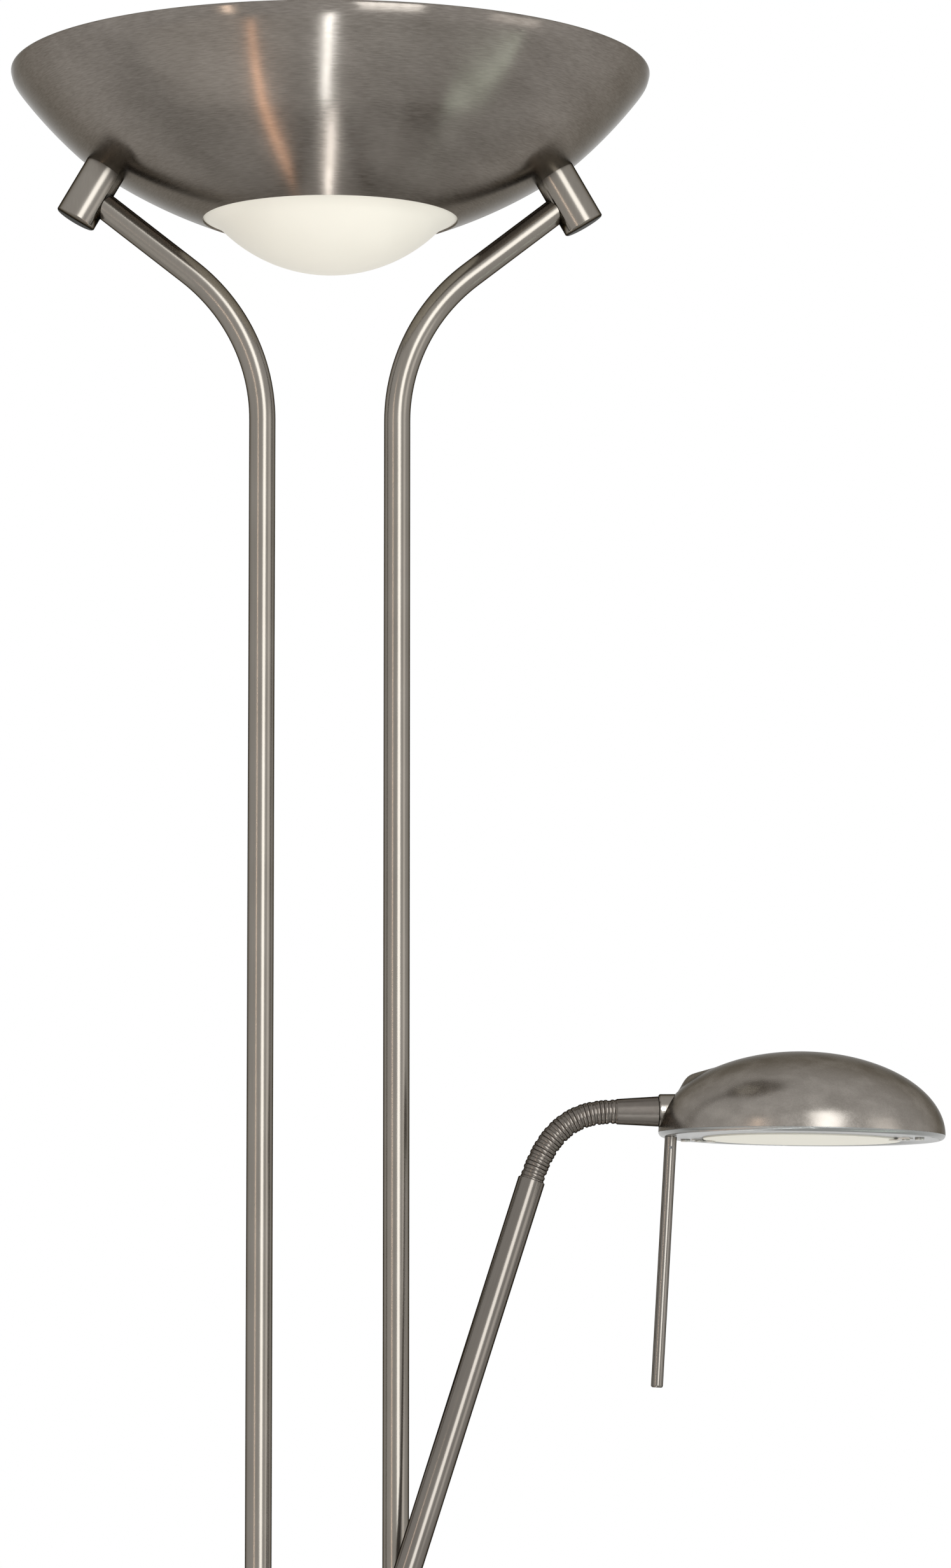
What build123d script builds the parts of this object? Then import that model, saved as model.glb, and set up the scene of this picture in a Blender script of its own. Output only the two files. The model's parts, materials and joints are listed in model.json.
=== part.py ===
from build123d import *
import os
from math import acos, asin, atan2, cos, degrees, hypot, radians, sin, sqrt, tan

# Torchiere floor lamp with a reading light on an arm. Sizes are in millimetres and angles in degrees.
# X runs to the right, Y to the back and Z up; the origin is on the floor under the middle of the base.

# ---- driving dimensions ----

RUNNING = 0.05          # radial clearance of a turning fit
LOOSE = 0.2             # clearance around a piece that is only dropped or screwed in

# base
BASE_RADIUS = 140.0
BASE_HEIGHT = 30.0
BASE_FLAT_RADIUS = 72.0
SKIRT_HEIGHT = 12.0
SKIRT_LIFT = 0.8
COVER_WALL = 1.2
PAD_THICKNESS = 2.5
WEIGHT_RADIUS = 131.0
WEIGHT_THICKNESS = 16.0
WEIGHT_BOSS_RADIUS = 62.0
NUT_POCKET_RADIUS = 17.0
NUT_POCKET_DEPTH = 13.0
CORD_CHANNEL_WIDTH = 9.0
GLAND_RADIUS = 5.5
GLAND_BORE = 3.6

# stems
STEM_RADIUS = 7.8
STEM_WALL = 1.2
STEM_OFFSET = 40.0      # each stem's distance from the lamp's axis
STEM_BEND_RADIUS = 112.0
STEM_CORNER_DROP = 154.0    # bowl's rim to where the upright and the slanted run of the axis would meet
COLLAR_RADIUS = 14.0
COLLAR_HEIGHT = 7.0
STUD_RADIUS = 5.0
STUD_BORE = 3.0
STUD_PLUG_LENGTH = 22.0

# control housing
HOUSING_BOTTOM_Z = 715.0
HOUSING_HEIGHT = 90.0
HOUSING_RADIUS = 17.0
HOUSING_WALL = 1.5
LID_THICKNESS = 2.5
LID_PLUG = 2.0
SLEEVE_RADIUS = 10.2
STEM_STOP = 4.0
WEB_THICKNESS = 3.0
WEB_FRONT_Y = 6.0
POST_RADIUS = 3.5
POST_SPREAD = 22.0      # lid posts' distance from the middle
SCREW_RADIUS = 1.5
KNOB_SPREAD = 15.5
KNOB_Z = 738.0
KNOB_RADIUS = 10.5
KNOB_LENGTH = 13.0
KNOB_GAP = 0.6          # between a knob and the housing
SHAFT_RADIUS = 3.0
BUSHING_RADIUS = 3.5

# arm
PIVOT_Z = 770.0
PIVOT_WASHER = 2.0
KNUCKLE_RADIUS = 13.0
KNUCKLE_WIDTH = 20.0
PIVOT_RADIUS = 4.0
ARM_LEAN = 17.74        # from vertical, towards the right
ARM_LENGTH = 386.0      # pivot to the tube's upper end
ARM_RADIUS = 8.0
ARM_WALL = 1.2
ARM_SHOULDER = 16.0     # pivot to the tube's lower end
SPIGOT_LENGTH = 24.0

# gooseneck
NECK_RADIUS = 7.1
NECK_PITCH = 8.7
NECK_BENDS = (5.0, 6.0, 9.0, 11.0, 13.0, 13.0, 10.0, 4.8)
NECK_GAP = 2.1
NECK_RIBS = 3
RIB_DEPTH = 0.7
BALL_RADIUS = 4.0
NECK_BORE = 1.6

# end tube, collar and reading head
END_TUBE_LENGTH = 28.5  # last ball to the collar
END_TUBE_RADIUS = 8.8
END_BORE = 4.0
HEAD_COLLAR_RADIUS = 10.1
HEAD_COLLAR_LENGTH = 18.9
END_SPIGOT_RADIUS = 6.9
END_SPIGOT_LENGTH = 14.0
HEAD_RADIUS = 83.8
HEAD_HEIGHT = 48.2
HEAD_WALL = 1.2
HEAD_TILT = 0.8         # nose down
HEAD_DROP = 13.7        # neck's axis to the dome's rim, at the dome's centre
HEAD_REACH = 84.0       # collar's start to the dome's centre
HUMP_RADIUS = 18.0
HUMP_BACK = 57.0
HUMP_ASIDE = 8.0
HUMP_HEIGHT = 34.5
HUMP_ROUND = 12.0
PLATE_DEPTH = 2.6
PLATE_WALL = 1.0
PLATE_LIP = 1.5
HEAD_GLASS_RADIUS = 57.6
HEAD_GLASS_THICKNESS = 3.0
HEAD_GLASS_CROWN = 1.0
LEDGE_RADIUS = 54.0
CLIP_ANGLE = -25.0      # first of two opposite glass clips
CLIP_WIDTH = 7.0
RIVET_CIRCLE = 63.7
SCREW_CIRCLE = 72.0
POST_HEIGHT = 22.8
ROD_RADIUS = 3.5
ROD_LENGTH = 146.0
ROD_LEAN = 3.4
ROD_BACK = 76.7         # dome's centre to the rod

# bowl
RIM_Z = 1797.0
RIM_RADIUS = 190.2
RIM_BEAD = 1.7
RIM_LIP = 6.0
KNEE_RADIUS = 149.0
KNEE_DROP = 49.3        # rim to the profile's knee
BOWL_HOLE_RADIUS = 76.0
HOLE_DROP = 88.3        # rim to the edge of the hole for the lens
UPPER_BULGE = 1.6       # how far each stretch of the profile bows out
LOWER_BULGE = 2.8
BOWL_WALL = 1.2
LENS_RADIUS = 67.0
LENS_DROP = 2.8         # hole's edge to the lens's rim
LENS_SPHERE = 92.0
LENS_THICKNESS = 3.5
LENS_FLANGE_RADIUS = 82.0
LENS_FLANGE_SLOPE = 25.0
BARREL_RADIUS = 12.5
BARREL_LENGTH = 35.0
BARREL_LEAN = 30.0
BARREL_SEAT = 134.0     # radius where the barrel's axis meets the bowl
NIPPLE_RADIUS = 4.9
NIPPLE_BORE = 3.4
NIPPLE_LENGTH = 21.0
LAMP_LENGTH = 116.0
LAMP_RADIUS = 5.0
LAMP_LIFT = 18.0
HOLDER_HEIGHT = 40.0
HOLDER_DEPTH = 24.0
HOLDER_WIDTH = 15.0
HOLDER_SPREAD = 66.0
SHIELD_THICKNESS = 4.0
SHIELD_DEPTH = 64.0
BRACKET_THICKNESS = 1.5
BRACKET_WIDTH = 22.0
BRACKET_REACH = 17.6    # foot's hole to the strip's bend

os.makedirs("parts", exist_ok=True)


# ---- helpers ----

def save(piece, name):
    piece.part.label = name
    export_step(piece.part, f"parts/{name}.step")


def beyond(point, lean, distance):
    """The point that lies a distance further along a line leaning from vertical in the XZ plane."""
    x, y, z = point
    return (x + distance * sin(radians(lean)), y, z + distance * cos(radians(lean)))


def aside(point, lean, distance):
    """The point that lies square to that line, to its right."""
    x, y, z = point
    return (x + distance * cos(radians(lean)), y, z - distance * sin(radians(lean)))


def profile_plane(point, lean):
    """A plane for half a turned outline: its X is the radius and its Y runs along the leaning line."""
    return Plane(origin=point, x_dir=(cos(radians(lean)), 0, -sin(radians(lean))), z_dir=(0, -1, 0))


def cross_plane(point, lean):
    """A plane square to the leaning line."""
    return Plane(origin=point, x_dir=(cos(radians(lean)), 0, -sin(radians(lean))),
                 z_dir=(sin(radians(lean)), 0, cos(radians(lean))))


def turn_axis(point, lean):
    return Axis(point, (sin(radians(lean)), 0, cos(radians(lean))))


def ring(outer, inner):
    Circle(outer)
    Circle(inner, mode=Mode.SUBTRACT)


def slot_outline(inset):
    SlotCenterToCenter(2 * STEM_OFFSET, 2 * (HOUSING_RADIUS - inset))


# ---- base ----

cover_top_z = BASE_HEIGHT
cover_under_z = BASE_HEIGHT - COVER_WALL
stem_bore = STEM_RADIUS - STEM_WALL
stem_spots = [(-STEM_OFFSET, 0), (STEM_OFFSET, 0)]
gland_z = PAD_THICKNESS + GLAND_RADIUS + 1.5

with BuildPart() as base_pad:
    with BuildSketch():
        Circle(WEIGHT_RADIUS)
    extrude(amount=PAD_THICKNESS)
save(base_pad, "base_pad")

with BuildPart() as base_weight:
    with BuildSketch(Plane.XY.offset(PAD_THICKNESS)):
        Circle(WEIGHT_RADIUS)
    extrude(amount=WEIGHT_THICKNESS)
    chamfer(base_weight.edges().sort_by(Axis.Z)[-1], 5)
    with BuildSketch(Plane.XY.offset(PAD_THICKNESS + WEIGHT_THICKNESS)):
        Circle(WEIGHT_BOSS_RADIUS)
    extrude(amount=cover_under_z - PAD_THICKNESS - WEIGHT_THICKNESS)
    with BuildSketch(Plane.XY.offset(PAD_THICKNESS)):
        with Locations(*stem_spots):
            Circle(NUT_POCKET_RADIUS)
        Rectangle(2 * STEM_OFFSET, CORD_CHANNEL_WIDTH)
        with Locations((0, WEIGHT_RADIUS / 2)):
            Rectangle(CORD_CHANNEL_WIDTH, WEIGHT_RADIUS + 2)
    extrude(amount=NUT_POCKET_DEPTH, mode=Mode.SUBTRACT)
    with BuildSketch(Plane.XY.offset(PAD_THICKNESS)):
        with Locations(*stem_spots):
            Circle(STUD_RADIUS + LOOSE)
    extrude(amount=BASE_HEIGHT, mode=Mode.SUBTRACT)
save(base_weight, "base_weight")

with BuildPart() as base_cover:
    with BuildSketch(Plane.XZ):
        with BuildLine():
            skirt = Line((BASE_RADIUS, SKIRT_LIFT), (BASE_RADIUS, SKIRT_HEIGHT))
            shoulder = TangentArc(skirt @ 1, (BASE_RADIUS - 8.5, SKIRT_HEIGHT + 11.1), tangent=(0, 1))
            crown = TangentArc(shoulder @ 1, (BASE_FLAT_RADIUS, cover_top_z), tangent=shoulder % 1)
            top = Line(crown @ 1, (0, cover_top_z))
            offset(amount=COVER_WALL, side=Side.LEFT)
        make_face()
    revolve(axis=Axis.Z)
    with BuildSketch(Plane.XY.offset(cover_top_z)):
        with Locations(*stem_spots):
            Circle(STUD_RADIUS + LOOSE)
    extrude(amount=-2 * COVER_WALL, mode=Mode.SUBTRACT)
    with BuildSketch(Plane.XZ.offset(-BASE_RADIUS - COVER_WALL)):
        with Locations((0, gland_z)):
            Circle(GLAND_RADIUS)
    extrude(amount=4 * COVER_WALL, mode=Mode.SUBTRACT)
save(base_cover, "base_cover")

with BuildPart() as cord_gland:
    with BuildSketch(Plane.XZ.offset(-BASE_RADIUS - 3)):
        with Locations((0, gland_z)):
            Circle(GLAND_RADIUS + 2)
    extrude(amount=2.8)
    with BuildSketch(Plane.XZ.offset(-BASE_RADIUS - 1)):
        with Locations((0, gland_z)):
            Circle(GLAND_RADIUS)
    extrude(amount=COVER_WALL + 4)
    with BuildSketch(Plane.XZ.offset(-BASE_RADIUS - 4)):
        with Locations((0, gland_z)):
            Circle(GLAND_BORE)
    extrude(amount=COVER_WALL + 8, mode=Mode.SUBTRACT)
save(cord_gland, "cord_gland")

# A plug in each lower stem's foot carries a hollow threaded shank down through cover and weight.
washer_z = PAD_THICKNESS + NUT_POCKET_DEPTH
WASHER_THICKNESS = 2.0
NUT_HEIGHT = 7.0

with BuildPart() as stem_studs:
    with BuildSketch(Plane.XY.offset(cover_top_z)):
        with Locations(*stem_spots):
            Circle(stem_bore - RUNNING)
    extrude(amount=STUD_PLUG_LENGTH)
    with BuildSketch(Plane.XY.offset(washer_z - WASHER_THICKNESS - NUT_HEIGHT - 2)):
        with Locations(*stem_spots):
            Circle(STUD_RADIUS)
    extrude(amount=cover_top_z - washer_z + WASHER_THICKNESS + NUT_HEIGHT + 3)
    with BuildSketch():
        with Locations(*stem_spots):
            Circle(STUD_BORE)
    extrude(amount=cover_top_z + STUD_PLUG_LENGTH, mode=Mode.SUBTRACT)
save(stem_studs, "stem_studs")

with BuildPart() as base_nuts:
    with BuildSketch(Plane.XY.offset(washer_z)):
        with Locations(*stem_spots):
            Circle(NUT_POCKET_RADIUS - 3)
            Circle(STUD_RADIUS + LOOSE, mode=Mode.SUBTRACT)
    extrude(amount=-WASHER_THICKNESS)
    with BuildSketch(Plane.XY.offset(washer_z - WASHER_THICKNESS)):
        with Locations(*stem_spots):
            RegularPolygon(8.5, 6, major_radius=False)
            Circle(STUD_RADIUS + RUNNING, mode=Mode.SUBTRACT)
    extrude(amount=-NUT_HEIGHT)
save(base_nuts, "base_nuts")

with BuildPart() as stem_collars:
    with BuildSketch(Plane.XY.offset(cover_top_z)):
        with Locations(*stem_spots):
            Circle(COLLAR_RADIUS)
    extrude(amount=COLLAR_HEIGHT)
    fillet(stem_collars.edges().filter_by(GeomType.CIRCLE).group_by(Axis.Z)[-1], 2.5)
    with BuildSketch(Plane.XY.offset(cover_top_z)):
        with Locations(*stem_spots):
            Circle(STEM_RADIUS + RUNNING)
    extrude(amount=COLLAR_HEIGHT, mode=Mode.SUBTRACT)
save(stem_collars, "stem_collars")

# ---- control housing ----

housing_top_z = HOUSING_BOTTOM_Z + HOUSING_HEIGHT
frame_bottom_z = HOUSING_BOTTOM_Z + LID_THICKNESS + LID_PLUG
frame_top_z = housing_top_z - LID_THICKNESS - LID_PLUG
stop_z = (frame_bottom_z + frame_top_z) / 2
wall_y = -(HOUSING_RADIUS - HOUSING_WALL)       # inner face of the front wall
front_y = -HOUSING_RADIUS
web_back_y = WEB_FRONT_Y + WEB_THICKNESS
boss_radius = PIVOT_RADIUS + 7
clamp_levels = [frame_bottom_z + 12, frame_top_z - 12]
post_spots = [(-POST_SPREAD, WEB_FRONT_Y - 2), (POST_SPREAD, WEB_FRONT_Y - 2)]
knob_spots = [(-KNOB_SPREAD, KNOB_Z), (KNOB_SPREAD, KNOB_Z)]

with BuildPart() as housing_frame:
    with BuildSketch(Plane.XY.offset(frame_bottom_z)):
        with Locations(*stem_spots):
            Circle(SLEEVE_RADIUS)
        with Locations(*post_spots):
            Circle(POST_RADIUS)
        with Locations((0, WEB_FRONT_Y + WEB_THICKNESS / 2)):
            Rectangle(2 * STEM_OFFSET, WEB_THICKNESS)
    extrude(amount=frame_top_z - frame_bottom_z)
    with BuildSketch(Plane.XZ.offset(-WEB_FRONT_Y)):
        with Locations((0, PIVOT_Z)):
            Circle(boss_radius)
    extrude(amount=WEB_FRONT_Y - wall_y)
    for end_z, height in ((frame_bottom_z, stop_z - STEM_STOP / 2 - frame_bottom_z),
                          (frame_top_z, stop_z + STEM_STOP / 2 - frame_top_z)):
        with BuildSketch(Plane.XY.offset(end_z)):
            with Locations(*stem_spots):
                Circle(STEM_RADIUS + RUNNING)
        extrude(amount=height, mode=Mode.SUBTRACT)
    with BuildSketch(Plane.XY.offset(stop_z)):
        with Locations(*stem_spots):
            Circle(stem_bore - 1)
    extrude(amount=STEM_STOP, both=True, mode=Mode.SUBTRACT)
    with BuildSketch(Plane.XZ.offset(-web_back_y)):
        with Locations((0, PIVOT_Z)):
            Circle(PIVOT_RADIUS + RUNNING)
    extrude(amount=2 * HOUSING_RADIUS, mode=Mode.SUBTRACT)
    with BuildSketch(Plane.XZ.offset(-SLEEVE_RADIUS)):
        with Locations(*[(x, z) for x, _ in stem_spots for z in clamp_levels]):
            Circle(2.0 + RUNNING)
    extrude(amount=SLEEVE_RADIUS, mode=Mode.SUBTRACT)
    for end_z, height in ((frame_bottom_z, 10), (frame_top_z, -10)):
        with BuildSketch(Plane.XY.offset(end_z)):
            with Locations(*post_spots):
                Circle(SCREW_RADIUS + RUNNING)
        extrude(amount=height, mode=Mode.SUBTRACT)
save(housing_frame, "housing_frame")

with BuildPart() as housing_body:
    with BuildSketch(Plane.XY.offset(HOUSING_BOTTOM_Z + LID_THICKNESS)):
        slot_outline(0)
        slot_outline(HOUSING_WALL)
    extrude(amount=HOUSING_HEIGHT - 2 * LID_THICKNESS)
    with BuildSketch(Plane.XY.offset(HOUSING_BOTTOM_Z)):
        slot_outline(HOUSING_WALL)
    extrude(amount=HOUSING_HEIGHT, mode=Mode.SUBTRACT)
    with BuildSketch(Plane.XZ.offset(HOUSING_RADIUS + 1)):
        with Locations((0, PIVOT_Z)):
            Circle(PIVOT_RADIUS + LOOSE)
        with Locations(*knob_spots):
            Circle(BUSHING_RADIUS + LOOSE)
    extrude(amount=-HOUSING_WALL - 2, mode=Mode.SUBTRACT)
save(housing_body, "housing_body")


def housing_lid(outer_z, inward):
    """A stadium-shaped lid with a plug that enters the housing; inward is +1 or -1 along Z."""
    with BuildPart() as lid:
        with BuildSketch(Plane.XY.offset(outer_z)):
            slot_outline(0)
        extrude(amount=inward * LID_THICKNESS)
        outer_faces = lid.faces().filter_by(Plane.XY).sort_by(Axis.Z)
        fillet((outer_faces[0] if inward > 0 else outer_faces[-1]).edges(), 1.2)
        with BuildSketch(Plane.XY.offset(outer_z + inward * LID_THICKNESS)):
            slot_outline(HOUSING_WALL + LOOSE)
        extrude(amount=inward * LID_PLUG)
        with BuildSketch(Plane.XY.offset(outer_z)):
            with Locations(*stem_spots):
                Circle(STEM_RADIUS + RUNNING)
            with Locations(*post_spots):
                Circle(SCREW_RADIUS + LOOSE)
        extrude(amount=inward * (LID_THICKNESS + LID_PLUG), mode=Mode.SUBTRACT)
    return lid


save(housing_lid(housing_top_z, -1), "housing_top_lid")
save(housing_lid(HOUSING_BOTTOM_Z, 1), "housing_bottom_lid")

# Two lid screws at each end, and two grub screws on each side that clamp the stems.
with BuildPart() as housing_screws:
    for outer_z, inward in ((HOUSING_BOTTOM_Z, 1), (housing_top_z, -1)):
        with BuildSketch(Plane.XY.offset(outer_z)):
            with Locations(*post_spots):
                Circle(2.8)
        extrude(amount=-inward * 1.8)
        with BuildSketch(Plane.XY.offset(outer_z)):
            with Locations(*post_spots):
                Circle(SCREW_RADIUS)
        extrude(amount=inward * (LID_THICKNESS + LID_PLUG + 8))
    with BuildSketch(Plane.XZ.offset(-STEM_RADIUS)):
        with Locations(*[(x, z) for x, _ in stem_spots for z in clamp_levels]):
            Circle(2.0)
    extrude(amount=-4)
save(housing_screws, "housing_screws")

# Rotary dimmers: a case behind the front wall, its bushing through the wall, and a shared circuit board.
DIMMER_SIZE = 18.0
DIMMER_DEPTH = 8.0
BUSHING_LENGTH = 6.0
BOARD_THICKNESS = 1.6
DIMMER_NUT_HEIGHT = 2.0
board_y = wall_y + DIMMER_DEPTH


def dimmer(x):
    with BuildPart() as case:
        with BuildSketch(Plane.XZ.offset(-wall_y)):
            with Locations((x, KNOB_Z)):
                Rectangle(DIMMER_SIZE, DIMMER_SIZE)
        extrude(amount=-DIMMER_DEPTH)
        with BuildSketch(Plane.XZ.offset(-wall_y)):
            with Locations((x, KNOB_Z)):
                Circle(BUSHING_RADIUS)
        extrude(amount=BUSHING_LENGTH)
        with BuildSketch(Plane.XZ.offset(BUSHING_LENGTH - wall_y)):
            with Locations((x, KNOB_Z)):
                Circle(SHAFT_RADIUS + RUNNING)
        extrude(amount=-BUSHING_LENGTH - DIMMER_DEPTH + 1, mode=Mode.SUBTRACT)
    return case


save(dimmer(-KNOB_SPREAD), "dimmer_left")
save(dimmer(KNOB_SPREAD), "dimmer_right")

with BuildPart() as dimmer_nuts:
    with BuildSketch(Plane.XZ.offset(HOUSING_RADIUS)):
        with Locations(*knob_spots):
            RegularPolygon(5, 6, major_radius=False)
            Circle(BUSHING_RADIUS + RUNNING, mode=Mode.SUBTRACT)
    extrude(amount=DIMMER_NUT_HEIGHT)
save(dimmer_nuts, "dimmer_nuts")

with BuildPart() as dimmer_board:
    with BuildSketch(Plane.XZ.offset(-board_y)):
        with Locations((0, KNOB_Z)):
            Rectangle(2 * (KNOB_SPREAD + DIMMER_SIZE / 2 + 3), 2 * DIMMER_SIZE - 4)
    extrude(amount=-BOARD_THICKNESS)
    with BuildSketch(Plane.XZ.offset(-board_y - BOARD_THICKNESS)):
        with Locations((-9, KNOB_Z - 6)):
            Circle(6)
            Circle(2.5, mode=Mode.SUBTRACT)
        with Locations((8, KNOB_Z - 8)):
            Rectangle(14, 6)
        with Locations((6, KNOB_Z + 6), (-6, KNOB_Z + 8)):
            Rectangle(8, 5)
    extrude(amount=-9)
save(dimmer_board, "dimmer_board")

with BuildPart() as terminal_block:
    with BuildSketch(Plane.XZ.offset(-WEB_FRONT_Y)):
        with Locations((0, PIVOT_Z + boss_radius + 10)):
            Rectangle(30, 12)
    extrude(amount=11)
    with BuildSketch(Plane.XY.offset(PIVOT_Z + boss_radius + 4)):
        with GridLocations(10, 1, 3, 1):
            Circle(2)
    extrude(amount=12, mode=Mode.SUBTRACT)
save(terminal_block, "terminal_block")

with BuildPart() as pivot_bolt:
    with BuildSketch(Plane.XZ.offset(-web_back_y - 5.5)):
        with Locations((0, PIVOT_Z)):
            Circle(PIVOT_RADIUS)
    extrude(amount=web_back_y + 5.5 + HOUSING_RADIUS + PIVOT_WASHER + KNUCKLE_WIDTH - 5)
    with BuildSketch(Plane.XZ.offset(HOUSING_RADIUS + PIVOT_WASHER + KNUCKLE_WIDTH - 5)):
        with Locations((0, PIVOT_Z)):
            Circle(7)
    extrude(amount=-3)
    with BuildSketch(Plane.XZ.offset(HOUSING_RADIUS + PIVOT_WASHER + KNUCKLE_WIDTH - 5)):
        with Locations((0, PIVOT_Z)):
            RegularPolygon(2.5, 6, major_radius=False)
    extrude(amount=-2, mode=Mode.SUBTRACT)
    with BuildSketch(Plane.XZ.offset(-web_back_y - 5.5)):
        with Locations((0, PIVOT_Z)):
            Circle(2)
    extrude(amount=web_back_y + 5.5 + HOUSING_RADIUS + PIVOT_WASHER + KNUCKLE_WIDTH / 2 + 2, mode=Mode.SUBTRACT)
    with BuildSketch(cross_plane((0, -HOUSING_RADIUS - PIVOT_WASHER - KNUCKLE_WIDTH / 2, PIVOT_Z), ARM_LEAN)):
        Circle(1.8)
    extrude(amount=2 * PIVOT_RADIUS, mode=Mode.SUBTRACT)
save(pivot_bolt, "pivot_bolt")

# The fibre washer between knuckle and housing, and the nut behind the frame's web.
with BuildPart() as pivot_washers:
    with BuildSketch(Plane.XZ.offset(HOUSING_RADIUS)):
        with Locations((0, PIVOT_Z)):
            ring(KNUCKLE_RADIUS - 1, PIVOT_RADIUS + RUNNING)
    extrude(amount=PIVOT_WASHER)
    with BuildSketch(Plane.XZ.offset(-web_back_y)):
        with Locations((0, PIVOT_Z)):
            RegularPolygon(6.5, 6, major_radius=False)
            Circle(PIVOT_RADIUS + RUNNING, mode=Mode.SUBTRACT)
    extrude(amount=-5)
save(pivot_washers, "pivot_washers")


def knob(x):
    with BuildPart() as cap:
        with BuildSketch(Plane.XZ.offset(HOUSING_RADIUS + KNOB_GAP)):
            with Locations((x, KNOB_Z)):
                Circle(KNOB_RADIUS)
        extrude(amount=KNOB_LENGTH)
        chamfer(cap.edges().sort_by(Axis.Y)[0], 0.8)
        with BuildSketch(Plane.XZ.offset(HOUSING_RADIUS + KNOB_GAP)):
            with Locations((x, KNOB_Z)):
                Circle(7)
        extrude(amount=BUSHING_LENGTH, mode=Mode.SUBTRACT)
        with BuildSketch(Plane.XZ.offset(HOUSING_RADIUS + KNOB_GAP + KNOB_LENGTH)):
            with Locations((x, KNOB_Z + KNOB_RADIUS - 3)):
                Rectangle(1.2, 5)
        extrude(amount=-0.6, mode=Mode.SUBTRACT)
        with BuildSketch(Plane.XZ.offset(HOUSING_RADIUS + KNOB_GAP + BUSHING_LENGTH + 1)):
            with Locations((x, KNOB_Z)):
                Circle(SHAFT_RADIUS)
        extrude(amount=-KNOB_GAP - BUSHING_LENGTH - 1 - HOUSING_WALL - DIMMER_DEPTH + 2)
    return cap


save(knob(-KNOB_SPREAD), "knob_left")
save(knob(KNOB_SPREAD), "knob_right")

# ---- bowl's profile, stems and barrels ----

knee_z = RIM_Z - KNEE_DROP
hole_z = RIM_Z - HOLE_DROP
lens_rim_z = hole_z - LENS_DROP
stem_corner_z = RIM_Z - STEM_CORNER_DROP
rise = knee_z - hole_z
reach = KNEE_RADIUS - BOWL_HOLE_RADIUS
lower_arc_radius = (rise ** 2 + reach ** 2) / (8 * LOWER_BULGE) + LOWER_BULGE / 2
lower_arc_x = (KNEE_RADIUS + BOWL_HOLE_RADIUS) / 2 - rise / hypot(rise, reach) * (lower_arc_radius - LOWER_BULGE)
lower_arc_z = (knee_z + hole_z) / 2 + reach / hypot(rise, reach) * (lower_arc_radius - LOWER_BULGE)
STEM_SHORT = 6.5        # stem's end to the barrel's axis


def wall_height(radius, depth=0):
    """Height of the bowl's lower stretch at a radius, on its outer face or a depth inside it."""
    return lower_arc_z - sqrt((lower_arc_radius - depth) ** 2 - (radius - lower_arc_x) ** 2)


def end_slopes(inner, outer, bulge):
    """Slopes, in radians, at the two ends of a stretch of the profile."""
    across, up = outer[0] - inner[0], outer[1] - inner[1]
    bow = atan2(4 * bulge, hypot(across, up))
    return atan2(up, across) - bow, atan2(up, across) + bow


hole_slope, below_knee = end_slopes((BOWL_HOLE_RADIUS, hole_z), (KNEE_RADIUS, knee_z), LOWER_BULGE)
above_knee, rim_slope = end_slopes((KNEE_RADIUS, knee_z), (RIM_RADIUS, RIM_Z - RIM_LIP), UPPER_BULGE)
knee_slope = (below_knee + above_knee) / 2


def bowed(start, end, bulge):
    """A shallow curve from start up to end that bows away from the bowl's axis."""
    outward = (Vector(end) - Vector(start)).rotate(Axis.Z, -90).normalized()
    return Bezier(start, (Vector(start) + Vector(end)) / 2 + outward * 2 * bulge, end)


def bowl_outline(depth):
    """The profile from hole to rim, on the bowl's outer face or a depth inside it."""
    hole = (BOWL_HOLE_RADIUS - depth * sin(hole_slope), hole_z + depth * cos(hole_slope))
    knee = (KNEE_RADIUS - depth * sin(knee_slope), knee_z + depth * cos(knee_slope))
    corner = (RIM_RADIUS - depth, RIM_Z - RIM_LIP + depth * (1 - sin(rim_slope)) / cos(rim_slope))
    top = (RIM_RADIUS - depth, RIM_Z)
    bowed(hole, knee, LOWER_BULGE)
    bowed(knee, corner, UPPER_BULGE)
    Line(corner, top)
    return hole, top


def seat(side):
    """Where a barrel's axis meets the bowl's outer face; side is -1 for left and 1 for right."""
    return (side * BARREL_SEAT, 0, wall_height(BARREL_SEAT))


def barrel_lean(side):
    return -side * BARREL_LEAN


def barrel_plane(side, distance):
    """A plane square to the barrel's axis, a distance above the seat."""
    return cross_plane(beyond(seat(side), barrel_lean(side), distance), barrel_lean(side))


def stem_corner(side):
    return (side * STEM_OFFSET, 0, stem_corner_z)


def stem_slant(side):
    """Lean and length of the slanted run, from the corner to the barrel's axis."""
    joint_x, _, joint_z = beyond(seat(side), barrel_lean(side), -BARREL_LENGTH / 2)
    across = joint_x - side * STEM_OFFSET
    up = joint_z - stem_corner_z
    return degrees(atan2(across, up)), hypot(across, up)


def stem_upper(side):
    lean, length = stem_slant(side)
    end_x, _, end_z = beyond(stem_corner(side), lean, length - STEM_SHORT)
    with BuildPart() as stem:
        with BuildLine(Plane.XZ) as path:
            FilletPolyline((side * STEM_OFFSET, stop_z + STEM_STOP / 2), (side * STEM_OFFSET, stem_corner_z),
                           (end_x, end_z), radius=STEM_BEND_RADIUS)
        with BuildSketch(Plane.XY.offset(stop_z + STEM_STOP / 2)):
            with Locations((side * STEM_OFFSET, 0)):
                ring(STEM_RADIUS, stem_bore)
        sweep(path=path.wires()[0])
    return stem


def stem_lower(side):
    with BuildPart() as stem:
        with BuildSketch(Plane.XY.offset(BASE_HEIGHT)):
            with Locations((side * STEM_OFFSET, 0)):
                ring(STEM_RADIUS, stem_bore)
        extrude(amount=stop_z - STEM_STOP / 2 - BASE_HEIGHT)
    return stem


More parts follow.
